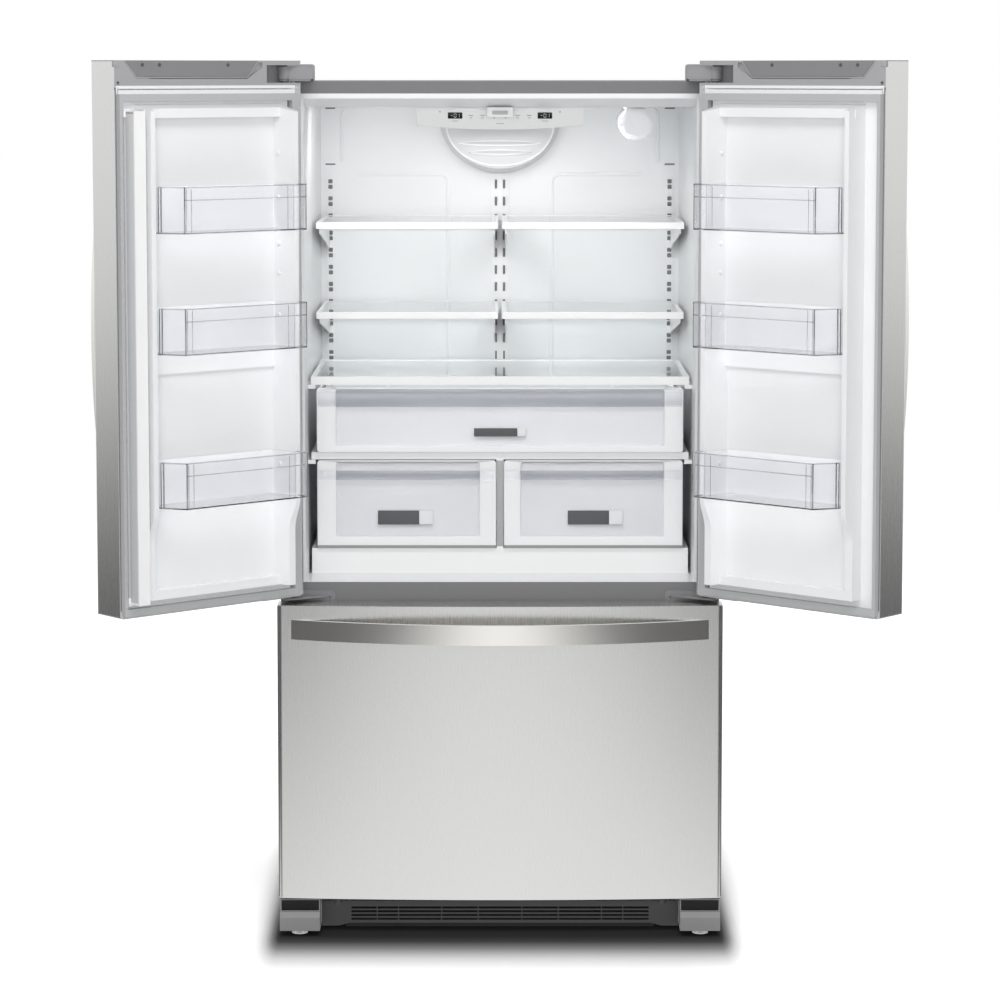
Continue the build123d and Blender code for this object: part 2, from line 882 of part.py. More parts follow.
# Door pieces are drawn in door coordinates, u along x, w along y and height along z,
# and set on this plane, which is the left door's frame at its open stop.
turn = radians(-open_angle)
door_frame = Plane(
    origin=(
        -hinge_x - hinge_inset * cos(turn) - hinge_depth * sin(turn),
        hinge_y - hinge_inset * sin(turn) + hinge_depth * cos(turn),
        0,
    ),
    x_dir=(cos(turn), sin(turn), 0),
    z_dir=(0, 0, 1),
)
pin_place = (hinge_inset, -hinge_depth)  # hinge axis in door coordinates


def front_thickness(distance):
    """Thickness of a door or drawer front at a distance from the body's side."""
    share = 1 - distance / body_half
    return edge_thickness + bow * (1 - share**2)


def door_outline(inset):
    """Plan of a door slab, inside a skin of the given thickness."""
    near = inset
    far = door_width - inset
    middle = door_width / 2
    with BuildSketch() as outline:
        with BuildLine():
            Polyline(
                (near, -front_thickness(near) + inset),
                (near, -inset),
                (far, -inset),
                (far, -front_thickness(far) + inset),
            )
            ThreePointArc(
                (near, -front_thickness(near) + inset),
                (middle, -front_thickness(middle) + inset),
                (far, -front_thickness(far) + inset),
            )
        make_face()
        hinge_corner = outline.vertices().group_by(Axis.X)[0].sort_by(Axis.Y)[0]
        fillet(hinge_corner, corner_radius - inset)
        free_corner = outline.vertices().group_by(Axis.X)[-1].sort_by(Axis.Y)[0]
        fillet(free_corner, corner_radius / 2 - inset)
    return outline.sketch


def door_slab(inset, low, high):
    """The door outline extruded between two levels."""
    with BuildPart() as slab:
        with BuildSketch(Plane.XY.offset(low)):
            add(door_outline(inset))
        extrude(amount=high - low)
    return slab.part


def dike_curve(inset, dike, low_dike, low_u):
    """What is cut off one dike below the lowest bin, over half the door from low_u."""
    beyond = dike + 10
    with BuildPart() as cut:
        with BuildSketch(Plane.YZ.offset(low_u)):
            with BuildLine():
                Polyline(
                    (low_dike - inset, dike_curve_bottom),
                    (low_dike - inset, plug_bottom - 10),
                    (beyond, plug_bottom - 10),
                    (beyond, dike_curve_top + inset),
                    (dike - inset, dike_curve_top + inset),
                )
                Spline(
                    (dike - inset, dike_curve_top + inset),
                    (low_dike - inset, dike_curve_bottom),
                    tangents=((0, -1), (0, -1)),
                )
            make_face()
        extrude(amount=door_width / 2)
    return cut.part


def door_plug(inset):
    """The raised part of the door liner, with its pocket between two dikes."""
    root = -10.0  # the plug runs back into the slab
    floor = pocket_floor - inset
    near_crest = near_dike - inset
    far_crest = far_dike - inset
    near = plug_near + inset
    far = plug_far - inset
    with BuildPart() as plug:
        with BuildSketch(Plane.XY.offset(plug_bottom + inset)):
            with BuildLine():
                Polyline(
                    (near, root),
                    (near + draft, near_crest),
                    (plug_near + draft + crest - inset, near_crest),
                    (plug_near + near_foot - inset, floor),
                    (plug_far - far_foot + inset, floor),
                    (plug_far - draft - crest + inset, far_crest),
                    (far - draft, far_crest),
                    (far, root),
                    close=True,
                )
            make_face()
        extrude(amount=plug_top - plug_bottom - 2 * inset)
        block(
            (near + draft, root, step_level + inset),
            (far - draft, pocket_floor + pocket_step - inset, plug_top - 10),
        )
        block(
            (near + 1, root, plug_top - lintel_height + inset),
            (far - 1, lintel_reach - inset, plug_top - inset),
        )
        block(
            (near + 1, root, plug_bottom + inset),
            (far - 1, far_low_dike - inset, plug_bottom + sill_height - inset),
        )
        add(dike_curve(inset, near_dike, near_low_dike, 0), mode=Mode.SUBTRACT)
        add(dike_curve(inset, far_dike, far_low_dike, door_width / 2), mode=Mode.SUBTRACT)
        with BuildSketch(Plane.YZ):
            with BuildLine():
                Polyline(
                    (0, plug_top - inset),
                    (slope_reach, plug_top - inset - plug_slope),
                    (slope_reach, plug_top + 5),
                    (0, plug_top + 5),
                    close=True,
                )
            make_face()
        extrude(amount=door_width, mode=Mode.SUBTRACT)
    return plug.part


filling = door_plug(liner_wall)

# Outer skin: stainless sheet round the front and both edges, folded onto the inner face.
with BuildPart() as left_door_skin:
    add(door_slab(0, door_bottom + cap_lip, door_top - cap_lip))
    add(door_slab(steel, door_bottom, door_top), mode=Mode.SUBTRACT)
    block((return_width, -2 * steel, door_bottom), (gasket_far, 1, cap_face_bottom), Mode.SUBTRACT)
    block((steel, -2 * steel, cap_face_bottom), (door_width - steel, 1, door_top), Mode.SUBTRACT)
    block((-1, -notch_depth, notch_bottom), (3, 1, notch_top), Mode.SUBTRACT)

# Insulation: the slab and the filling of the dikes, with room for the pin sockets.
top_socket_foot = cap_bottom - socket_depth
low_socket_head = door_bottom + socket_depth + 1
with BuildPart() as left_door_foam:
    add(door_slab(steel, door_bottom + low_cap, cap_bottom))
    add(filling)
    rod(pin_place, top_socket, top_socket_foot, cap_bottom, Mode.SUBTRACT)
    rod(pin_place, low_socket, door_bottom + low_cap, low_socket_head, Mode.SUBTRACT)

# Liner: thermoformed sheet with a flange for the gasket, and lugs for the flap's pins.
with BuildPart() as bare_liner:
    block(
        (return_width, -steel, door_bottom + cap_lip),
        (gasket_far, flange_proud, cap_face_bottom),
    )
    add(door_plug(0))
    block((-5, -20, door_bottom - 5), (door_width, -steel, door_top), Mode.SUBTRACT)
    add(filling, mode=Mode.SUBTRACT)
with BuildPart() as left_door_liner:
    add(bare_liner.part)
    for low, pin_end in (
        (flap_top + lug_gap, flap_top - flap_pin_reach),
        (flap_bottom - lug_gap - lug_height, flap_bottom + flap_pin_reach),
    ):
        high = low + lug_height
        block(
            (flap_face - knuckle_length, flange_proud, low),
            (flap_face + knuckle_radius, flap_pivot_w + knuckle_radius, high),
        )
        rod(
            (flap_face, flap_pivot_w),
            flap_pin_radius,
            min(pin_end, low),
            max(pin_end, high),
        )

# Magnetic gasket round the flange.
with BuildPart() as left_door_gasket:
    block((gasket_near, flange_proud, gasket_low), (gasket_far, gasket_top, gasket_high))
    block(
        (gasket_near + gasket_width, flange_proud, gasket_low + gasket_width),
        (gasket_far - gasket_far_width, gasket_top, gasket_high - gasket_width),
        Mode.SUBTRACT,
    )

# End caps: moulded pieces that close the skin, with the sockets for the hinge pins.
recess_top = (95.0, 400.0)
recess_low = (132.0, 366.0)
recess_levels = (4.0, 14.0, 36.0)  # below the door's top
recess_depth = 5.0
stop_reach = 70.0  # door stop under the bottom cap, from the hinge axis
stop_height = 7.0
with BuildPart() as left_door_end_caps:
    add(door_slab(steel, cap_bottom, door_top - cap_lip))
    block(
        (steel, -2 * steel, cap_face_bottom),
        (door_width - steel, 0, door_top - cap_lip),
    )
    add(door_slab(0, door_top - cap_lip, door_top))
    block((-1, -notch_depth, notch_bottom), (notch_length, 1, notch_top), Mode.SUBTRACT)
    recess_head, recess_shoulder, recess_foot = [door_top - drop for drop in recess_levels]
    with BuildSketch(Plane.XZ):
        with BuildLine():
            Polyline(
                (recess_top[0], recess_head),
                (recess_top[1], recess_head),
                (recess_top[1], recess_shoulder),
                (recess_low[1], recess_foot),
                (recess_low[0], recess_foot),
                (recess_top[0], recess_shoulder),
                close=True,
            )
        make_face()
    extrude(amount=recess_depth, mode=Mode.SUBTRACT)
    rod(pin_place, top_socket, top_socket_foot, notch_bottom)
    rod(
        pin_place,
        top_pin_radius + pin_clearance,
        top_socket_foot + socket_floor,
        notch_bottom,
        Mode.SUBTRACT,
    )
    add(door_slab(steel, door_bottom + cap_lip, door_bottom + low_cap))
    add(door_slab(0, door_bottom, door_bottom + cap_lip))
    rod(pin_place, low_socket, door_bottom, low_socket_head)
    rod(
        pin_place,
        center_pin_radius + pin_clearance,
        door_bottom,
        low_socket_head - 1.5 * socket_floor,
        Mode.SUBTRACT,
    )
    block(
        (hinge_inset + 12, -hinge_depth - 8, door_bottom - stop_height),
        (hinge_inset + stop_reach, -hinge_depth + 8, door_bottom),
    )

# Handle: a flat bar that bows out from the door's front.
handle_u = door_width - handle_edge
front_w = -front_thickness(handle_u)
handle_low = door_bottom + handle_foot
handle_high = door_top - handle_head
bar_taper = 2.2 * handle_thickness
with BuildPart() as left_door_handle:
    with BuildSketch(Plane.YZ.offset(handle_u - handle_width / 2)):
        with BuildLine():
            root = front_w + 4
            out = front_w - handle_stand
            middle = (handle_low + handle_high) / 2
            ThreePointArc((root, handle_low), (out, middle), (root, handle_high))
            Line((root, handle_high), (root, handle_high - bar_taper))
            ThreePointArc(
                (root, handle_high - bar_taper),
                (out + handle_thickness, middle),
                (root, handle_low + bar_taper),
            )
            Line((root, handle_low + bar_taper), (root, handle_low))
        make_face()
    extrude(amount=handle_width)
    add(door_slab(0, door_bottom, door_top), mode=Mode.SUBTRACT)

# Three bins hang between the dikes, each wider in front than at the back.
with BuildPart() as left_door_bins:
    for low in bin_lows:
        back = pocket_floor + seat_gap
        if low > step_level:
            back += pocket_step
        near_corner = plug_near + (12.5 if low < dike_curve_top else 5)
        with BuildSketch(Plane.XY.offset(low)) as bin_plan:
            with BuildLine():
                Polyline(
                    (plug_near + near_foot + 3, back),
                    (plug_near + near_foot - 8.5, near_dike + 3),
                    (near_corner, near_dike + 3),
                    (near_corner, bin_front - 5),
                    (near_corner + 4, bin_front),
                    (plug_far - far_foot - bin_slant, bin_front),
                    (plug_far - crest - bin_slack, far_dike + bin_wall),
                    (plug_far - far_foot - 2, back),
                    close=True,
                )
            make_face()
        extrude(amount=bin_height)
        with BuildSketch(Plane.XY.offset(low + bin_wall)):
            add(bin_plan.sketch_local)
            offset(amount=-bin_wall, kind=Kind.INTERSECTION)
        extrude(amount=bin_height, mode=Mode.SUBTRACT)

# Mullion flap: an insulated bar that bridges the gap between the closed doors.
with BuildPart() as mullion_flap:
    block((flap_back, flap_low, flap_bottom), (flap_face, flap_high, flap_top))
    for low in (flap_bottom, flap_top - knuckle_length):
        rod((flap_face, flap_pivot_w), knuckle_radius, low, low + knuckle_length)
    for low in (flap_bottom, flap_top - flap_pin_bore):
        rod(
            (flap_face, flap_pivot_w),
            flap_pin_radius + pin_clearance,
            low,
            low + flap_pin_bore,
            Mode.SUBTRACT,
        )

with BuildPart(door_frame) as placed_flap:
    add(mullion_flap.part)
save(placed_flap.part, "mullion_flap")

with BuildPart(door_frame) as placed_liner:
    add(left_door_liner.part)
save(placed_liner.part, "left_door_liner")

for piece, name in (
    (left_door_skin, "door_skin"),
    (left_door_foam, "door_foam"),
    (left_door_gasket, "door_gasket"),
    (left_door_end_caps, "door_end_caps"),
    (left_door_handle, "door_handle"),
    (left_door_bins, "door_bins"),
):
    with BuildPart(door_frame) as placed:
        add(piece.part)
    save(placed.part, f"left_{name}")
    with BuildPart() as opposite:
        mirror(placed.part, about=Plane.YZ)
    save(opposite.part, f"right_{name}")

# The right door's liner has no lugs for a flap.
with BuildPart(door_frame) as placed:
    add(bare_liner.part)
with BuildPart() as right_door_liner:
    mirror(placed.part, about=Plane.YZ)
save(right_door_liner.part, "right_door_liner")

# ---------------------------------------------------------------- Freezer drawer

drawer_back = front_y - door_gap


def front_outline(inset):
    """Plan of the freezer drawer's bowed front, inside a skin of the given thickness."""
    end_x = body_half - inset
    end_y = drawer_back - edge_thickness + inset
    with BuildSketch() as outline:
        with BuildLine():
            Polyline(
                (-end_x, end_y),
                (-end_x, drawer_back - inset),
                (end_x, drawer_back - inset),
                (end_x, end_y),
            )
            ThreePointArc((-end_x, end_y), (0, end_y - bow), (end_x, end_y))
        make_face()
        left_corner = outline.vertices().group_by(Axis.X)[0].sort_by(Axis.Y)[0]
        right_corner = outline.vertices().group_by(Axis.X)[-1].sort_by(Axis.Y)[0]
        fillet([left_corner, right_corner], corner_radius - inset)
    return outline.sketch


def front_slab(inset, low, high):
    """The drawer front's outline extruded between two levels."""
    with BuildPart() as slab:
        with BuildSketch(Plane.XY.offset(low)):
            add(front_outline(inset))
        extrude(amount=high - low)
    return slab.part


window_x = body_half - return_width
window_low = drawer_bottom + steel + 8
window_high = drawer_top - steel - 4
with BuildPart() as freezer_door_skin:
    add(front_slab(0, drawer_bottom, drawer_top))
    add(front_slab(steel, drawer_bottom + steel, drawer_top - steel), mode=Mode.SUBTRACT)
    block(
        (-window_x, drawer_back - 2 * steel, window_low),
        (window_x, drawer_back + 1, window_high),
        Mode.SUBTRACT,
    )
save(freezer_door_skin.part, "freezer_door_skin")

with BuildPart() as freezer_door_foam:
    add(front_slab(steel, drawer_bottom + steel, drawer_top - steel))
save(freezer_door_foam.part, "freezer_door_foam")

# Inner liner of the drawer front, raised where it reaches into the freezer.
liner_face = drawer_back + flange_proud
pan_inset = 14.0  # raised part inside the freezer's side walls
pan_gap = 10.0  # and off its floor and its ceiling
pan_reach = 6.0  # behind the cabinet's front
pan_wall = 3.0
with BuildPart() as freezer_door_liner:
    block(
        (-window_x, drawer_back - steel, window_low),
        (window_x, liner_face, window_high),
    )
    block(
        (-freezer_half + pan_inset, liner_face, freezer_floor + pan_gap),
        (freezer_half - pan_inset, front_y + pan_reach, rail_bottom - pan_gap),
    )
    block(
        (
            -freezer_half + pan_inset + pan_wall,
            drawer_back - steel,
            freezer_floor + pan_gap + pan_wall,
        ),
        (
            freezer_half - pan_inset - pan_wall,
            front_y + pan_reach - pan_wall,
            rail_bottom - pan_gap - pan_wall,
        ),
        Mode.SUBTRACT,
    )
save(freezer_door_liner.part, "freezer_door_liner")

freezer_gasket_x = window_x - gasket_edge
freezer_gasket_low = window_low + gasket_edge
freezer_gasket_high = window_high - 1
with BuildPart() as freezer_door_gasket:
    block(
        (-freezer_gasket_x, liner_face, freezer_gasket_low),
        (freezer_gasket_x, front_y - seat_gap, freezer_gasket_high),
    )
    block(
        (-freezer_gasket_x + gasket_width, liner_face, freezer_gasket_low + gasket_width),
        (freezer_gasket_x - gasket_width, front_y, freezer_gasket_high - gasket_width),
        Mode.SUBTRACT,
    )
save(freezer_door_gasket.part, "freezer_door_gasket")

# Drawer handle: the same bar, laid across the top of the drawer front.
drawer_handle_level = drawer_top - drawer_handle_drop
end_taper = 2.6 * handle_thickness
with BuildPart() as freezer_door_handle:
    with BuildSketch(Plane.XY.offset(drawer_handle_level - handle_width / 2)):
        with BuildLine():
            reach = body_half - drawer_handle_end + 6
            root = drawer_back - edge_thickness + 2
            out = drawer_back - edge_thickness - bow - drawer_handle_stand
            ThreePointArc((-reach, root), (0, out), (reach, root))
            Line((reach, root), (reach - end_taper, root))
            ThreePointArc(
                (reach - end_taper, root), (0, out + handle_thickness), (end_taper - reach, root)
            )
            Line((end_taper - reach, root), (-reach, root))
        make_face()
    extrude(amount=handle_width)
    add(front_slab(0, drawer_bottom, drawer_top), mode=Mode.SUBTRACT)
save(freezer_door_handle.part, "freezer_door_handle")

# Telescopic slides: fixed rails on the liner's walls, members behind the front.
rail_setback = 20.0
slide_length = 395.0
slide_height = 45.0
slide_play = 3.0
rail_thickness = 13.0
rail_web = 4.0
slide_thickness = 14.0
bracket_reach = 40.0
bracket_thickness = 3.0
tray_rail_rise = 125.0  # over the slides
tray_rail_height = 20.0
tray_rail_length = 480.0
slide_high = step_z - 30
slide_low = slide_high - slide_height
tray_rail_low = slide_high + tray_rail_rise
tray_rail_high = tray_rail_low + tray_rail_height
rail_x = freezer_half - rail_thickness
rail_y = front_y + rail_setback
with BuildPart() as freezer_rails:
    pair((rail_x, rail_y, slide_low), (freezer_half, rail_y + slide_length, slide_high))
    pair(
        (rail_x, rail_y + slide_play, slide_low + 2 * slide_play),
        (rail_x + rail_web, rail_y + slide_length, slide_high - 2 * slide_play),
        Mode.SUBTRACT,
    )
    pair(
        (rail_x + slide_play, rail_y, tray_rail_low),
        (freezer_half, rail_y + tray_rail_length, tray_rail_high),
    )
save(freezer_rails.part, "freezer_rails")

slide_x = rail_x - seat_gap
slide_y = front_y + pan_reach
with BuildPart() as freezer_slides:
    pair(
        (slide_x - slide_thickness, slide_y, slide_low + slide_play),
        (slide_x, rail_y + slide_length - 5, slide_high - slide_play),
    )
    pair(
        (slide_x - slide_thickness, slide_y, slide_low - bracket_reach),
        (
            slide_x - slide_thickness + bracket_thickness,
            slide_y + bracket_thickness,
            slide_high + bracket_reach,
        ),
    )
save(freezer_slides.part, "freezer_slides")

slot_spacing = 40.0  # air slots of the basket and the tray
air_slot_width = 14.0
basket_rim = 4.0


def basket(low, high, rim_x, rim_z, wall):
    """A ribbed bin with slots in its front and sides, hung by a rim."""
    columns = int((high[0] - low[0]) / slot_spacing) - 1
    with BuildPart() as shape:
        block(low, high)
        block(
            (low[0] + wall, low[1] + wall, low[2] + wall),
            (high[0] - wall, high[1] - wall, high[2]),
            Mode.SUBTRACT,
        )
        block((-rim_x, low[1], rim_z), (low[0] + wall, high[1], rim_z + basket_rim))
        block((high[0] - wall, low[1], rim_z), (rim_x, high[1], rim_z + basket_rim))
        with BuildSketch(Plane.XZ.offset(-high[1] - 1)):
            with Locations((0, (low[2] + rim_z) / 2)):
                with GridLocations(slot_spacing, 1, columns, 1):
                    SlotOverall(0.5 * (rim_z - low[2]), air_slot_width, rotation=90)
        extrude(amount=high[1] - low[1] + 2, mode=Mode.SUBTRACT)
    return shape.part


basket_x = slide_x - slide_thickness - 2
basket_play = 1.0
freezer_basket = basket(
    (-basket_x, front_y + 12, freezer_floor + 14),
    (basket_x, step_y - 18, slide_high - slide_play + seat_gap + basket_rim),
    slide_x - basket_play,
    slide_high - slide_play + seat_gap,
    tray_wall,
)
save(freezer_basket, "freezer_basket")

tray_depth = 80.0  # below its rails
tray_length = 436.0
tray_setback = 24.0
freezer_tray = basket(
    (-rail_x - 1, front_y + tray_setback, tray_rail_low - tray_depth),
    (
        rail_x + 1,
        front_y + tray_setback + tray_length,
        tray_rail_high + seat_gap + basket_rim,
    ),
    freezer_half - 2 * basket_play,
    tray_rail_high + seat_gap,
    tray_wall,
)
save(freezer_tray, "freezer_tray")

# ---------------------------------------------------------------- Cooling


def fan(plane, radius, hub, depth, count, bore):
    """A bladed rotor on the given plane, bored for its motor's shaft."""
    root = 3.0
    blade = radius - hub + root
    with BuildPart(plane) as rotor:
        Cylinder(hub, depth)
        with PolarLocations(hub - root + blade / 2, count):
            Box(blade, depth * 1.1, blade_thickness, rotation=(blade_pitch, 0, 0))
        Cylinder(bore, depth + 2, mode=Mode.SUBTRACT)
    return rotor.part


# Evaporator: fin plates on tube runs, upright behind the cover.
blade_thickness = 2.4
blade_pitch = 32.0
tube_radius = 4.0
tube_end = 54.0  # evaporator's tubes end before the freezer's side walls
fin_thickness = 1.2
fin_height = 129.7
fin_count = 23
fin_inset = 32.0  # outer fins from the ends of the tubes
coil_depth = 62.0
evaporator_back = front_y + freezer_depth
evaporator_y = evaporator_back - coil_depth
cover_y = evaporator_y - 8
tube_reach = freezer_half - tube_end
fin_spacing = 2 * (tube_reach - fin_inset) / (fin_count - 1)
with BuildPart() as evaporator_coil:
    fin_low = step_z + seat_gap
    middle = ((evaporator_y + evaporator_back) / 2, fin_low + fin_height / 2)
    with Locations((0, *middle)):
        with GridLocations(fin_spacing, 1, fin_count, 1):
            Box(fin_thickness, coil_depth - 8, fin_height)
    for level in (fin_low + 22, fin_low + 64, fin_low + 106):
        with BuildSketch(Plane.YZ.offset(-tube_reach)):
            with Locations((evaporator_y + 17, level), (evaporator_back - 17, level)):
                Circle(tube_radius)
        extrude(amount=2 * tube_reach)
save(evaporator_coil.part, "evaporator_coil")

# Cover over the evaporator, with an air hole and a spider that carries the fan's motor.
fan_drop = 70.0  # fan's axis below the freezer's ceiling
fan_radius = 58.0
fan_setback = 22.0
shaft_radius = 3.0
sheet = 3.0
spider_half = 4.0
motor_radius = 18.0
motor_depth = 9.0
fan_level = rail_bottom - fan_drop
fan_y = evaporator_y + fan_setback
with BuildPart() as evaporator_cover:
    block(
        (-freezer_half + 0.5, cover_y, step_z + seat_gap),
        (freezer_half - 0.5, cover_y + sheet, rail_bottom - 0.5),
    )
    with BuildSketch(Plane.XZ.offset(-cover_y)):
        with Locations((0, fan_level)):
            Circle(fan_radius + 4)
    extrude(amount=-sheet - 1, mode=Mode.SUBTRACT)
    block(
        (-fan_radius - 6, cover_y, fan_level - spider_half),
        (fan_radius + 6, cover_y + sheet, fan_level + spider_half),
    )
    with BuildSketch(Plane.XZ.offset(-cover_y)):
        with Locations((0, fan_level)):
            Circle(motor_radius)
    extrude(amount=-motor_depth)
    with BuildSketch(Plane.XZ.offset(-cover_y)):
        with Locations((0, fan_level)):
            Circle(shaft_radius)
    extrude(amount=-(fan_y - cover_y + 8))
save(evaporator_cover.part, "evaporator_cover")

evaporator_fan = fan(
    Plane(origin=(0, fan_y, fan_level), x_dir=(1, 0, 0), z_dir=(0, 1, 0)),
    fan_radius,
    15,
    16,
    7,
    shaft_radius + pin_clearance,
)
save(evaporator_fan, "evaporator_fan")

# Compressor: a welded pot on a plate with four rubber feet.
rail_outer = half - channel_gap
rail_inner = rail_outer - channel_width
pan_top = cabinet_base - pan_drop
pot_radius = 78.0
pot_height = 150.0
pot_corner = 30.0
foot_height = 14.0
foot_radius = 11.0
compressor_x = -rail_inner + 177
compressor_y = machine_front + 120
with BuildPart() as compressor:
    pot_foot = pan_top + foot_height + 6
    rod((compressor_x, compressor_y), pot_radius, pot_foot, pot_foot + pot_height)
    fillet(compressor.edges().filter_by(GeomType.CIRCLE), pot_corner)
    block(
        (compressor_x - 95, compressor_y - 70, pan_top + foot_height),
        (compressor_x + 95, compressor_y + 70, pot_foot + 2),
    )
    with Locations((compressor_x, compressor_y, pan_top + foot_height / 2)):
        with GridLocations(160, 110, 2, 2):
            Cylinder(foot_radius, foot_height)
    rod((compressor_x + 60, compressor_y), 6, pot_foot + 100, pot_foot + pot_height + 30)
save(compressor.part, "compressor")

# Condenser: tube rows with fins, standing on the base pan beside its fan.
condenser_low_x = 60.0
condenser_high_x = rail_inner - 82
condenser_low_y = machine_front + 30
condenser_high_y = back_y - 60
condenser_height = 150.0
row_count = 14
row_inset = 18.0
row_spacing = (condenser_high_x - condenser_low_x - 2 * row_inset) / (row_count - 1)
with BuildPart() as condenser_coil:
    middle_x = (condenser_low_x + condenser_high_x) / 2
    middle_y = (condenser_low_y + condenser_high_y) / 2
    span = condenser_high_y - condenser_low_y
    with Locations((middle_x, middle_y, pan_top + condenser_height / 2)):
        with GridLocations(row_spacing, 1, row_count, 1):
            Box(fin_thickness, span, condenser_height)
    for level in (pan_top + 25, pan_top + 75, pan_top + 125):
        for y in (condenser_low_y + 30, condenser_high_y - 30):
            with BuildSketch(Plane.YZ.offset(condenser_low_x)):
                with Locations((y, level)):
                    Circle(tube_radius)
            extrude(amount=condenser_high_x - condenser_low_x)
save(condenser_coil.part, "condenser_coil")

condenser_fan_x = 0.0
condenser_fan_level = pan_top + 85
condenser_fan = fan(
    Plane(origin=(condenser_fan_x, middle_y, condenser_fan_level), x_dir=(0, 1, 0), z_dir=(1, 0, 0)),
    70,
    18,
    22,
    5,
    shaft_radius + pin_clearance,
)
save(condenser_fan, "condenser_fan")

# ---------------------------------------------------------------- Base

beam_low = cabinet_base - beam_height
front_beam_low = cabinet_base - front_beam
front_beam_back = front_y + front_beam_depth
wheel_x = (rail_inner + rail_outer) / 2
leg_x = rail_outer - leg_inset
sides = (-1, 1)
axles = ((front_y + front_axle, wheel_radius + front_wheel_lift), (back_y - rear_axle, wheel_radius))
ear_half = 14.0  # ears of the side channels that hold an axle
ear_reach = 10.0
arm_height = 6.0
pan_sheet = 3.0
post_x = -52.0  # post of the condenser fan's motor
post_width = 6.0
with BuildPart() as base_frame:
    # Side channels, open below over the rollers.
    pair((rail_inner, front_y + front_lip, beam_low), (rail_outer, back_y - 2, cabinet_base))
    pair(
        (rail_inner + beam_web, front_beam_back, beam_low),
        (rail_outer - beam_web, back_y - 5, cabinet_base - beam_web),
        Mode.SUBTRACT,
    )
    for y, z in axles:
        ear_low = z - ear_reach
        pair((rail_inner, y - ear_half, ear_low), (rail_inner + beam_web, y + ear_half, beam_low))
        pair((rail_outer - beam_web, y - ear_half, ear_low), (rail_outer, y + ear_half, beam_low))
        for side in sides:
            with BuildSketch(Plane.YZ.offset(side * wheel_x - channel_width / 2)):
                with Locations((y, z)):
                    Circle(axle_radius)
            extrude(amount=channel_width)
    # Front beam with arms for the levelling legs.
    block(
        (-rail_outer, front_y + front_lip, front_beam_low),
        (rail_outer, front_beam_back, cabinet_base),
    )
    pair(
        (leg_x - leg_radius, front_y + leg_y - leg_radius, front_beam_low),
        (leg_x + leg_radius, front_beam_back, front_beam_low + arm_height),
    )
    for side in sides:
        rod(
            (side * leg_x, front_y + leg_y),
            stem_radius + pin_clearance,
            front_beam_low - arm_height,
            front_beam_low + 2 * arm_height,
            Mode.SUBTRACT,
        )
    # Pan under the machine compartment, with the post for the condenser fan's motor.
    block(
        (-rail_inner - 1, machine_front + 4, pan_top - pan_sheet),
        (rail_inner + 1, back_y - 8, pan_top),
    )
    block(
        (post_x, middle_y - 12, pan_top),
        (post_x + post_width, middle_y + 12, condenser_fan_level + 18),
    )
    motor_plane = Plane(
        origin=(post_x + post_width, middle_y, condenser_fan_level), z_dir=(1, 0, 0)
    )
    with BuildSketch(motor_plane):
        Circle(20)
    extrude(amount=30)
    with BuildSketch(motor_plane):
        Circle(shaft_radius)
    extrude(amount=60)
save(base_frame.part, "base_frame")

for name, (y, z) in zip(("front_rollers", "rear_rollers"), axles):
    with BuildPart() as rollers:
        for side in sides:
            with BuildSketch(Plane.YZ.offset(side * wheel_x - wheel_width / 2)):
                with Locations((y, z)):
                    Circle(wheel_radius)
                    Circle(axle_radius + pin_clearance, mode=Mode.SUBTRACT)
            extrude(amount=wheel_width)
    save(rollers.part, name)

with BuildPart() as leveling_legs:
    for side in sides:
        rod((side * leg_x, front_y + leg_y), leg_radius, 0, leg_height)
        rod((side * leg_x, front_y + leg_y), stem_radius, leg_height, cabinet_base - 7)
save(leveling_legs.part, "leveling_legs")

# Covers over the front feet, on either side of the grille.
foot_width = 82.0
foot_reach = 92.0  # before the cabinet's front
foot_gap = 8.0
foot_low_z = 12.0
foot_wall = 2.5
foot_roof = 10.5
foot_bevel = 10.0
hood_setback = 18.0  # hood over the leg's arm, behind the cover's front
hood_drop = 3.5  # and below the drawer front
foot_high_x = half + 0.5
foot_low_x = foot_high_x - foot_width
foot_high_z = front_beam_low - seat_gap
foot_front = front_y - foot_reach
foot_back = front_y - foot_gap
hood_high_z = drawer_bottom - hood_drop
with BuildPart() as left_foot_cover:
    block((-foot_high_x, foot_front, foot_low_z), (-foot_low_x, foot_back, foot_high_z))
    top_front = left_foot_cover.edges().filter_by(Axis.X).group_by(Axis.Z)[-1].sort_by(Axis.Y)[0]
    chamfer(top_front, foot_bevel)
    block(
        (-foot_high_x, foot_front + hood_setback, foot_high_z - foot_wall),
        (-foot_low_x, foot_back, hood_high_z),
    )
    block(
        (-foot_high_x + foot_wall, foot_front + hood_setback + foot_wall, foot_high_z),
        (-foot_low_x - foot_wall, foot_back + 1, hood_high_z - foot_wall),
        Mode.SUBTRACT,
    )
    block(
        (-foot_high_x + foot_wall, foot_front + foot_wall, foot_low_z - 1),
        (-foot_low_x - foot_wall, foot_back + 1, foot_high_z - foot_roof),
        Mode.SUBTRACT,
    )
    rod((-leg_x, front_y + leg_y), stem_radius + 1, foot_low_z, foot_high_z + 1, Mode.SUBTRACT)
with BuildPart() as foot_covers:
    add(left_foot_cover.part)
    mirror(left_foot_cover.part, about=Plane.YZ)
save(foot_covers.part, "foot_covers")

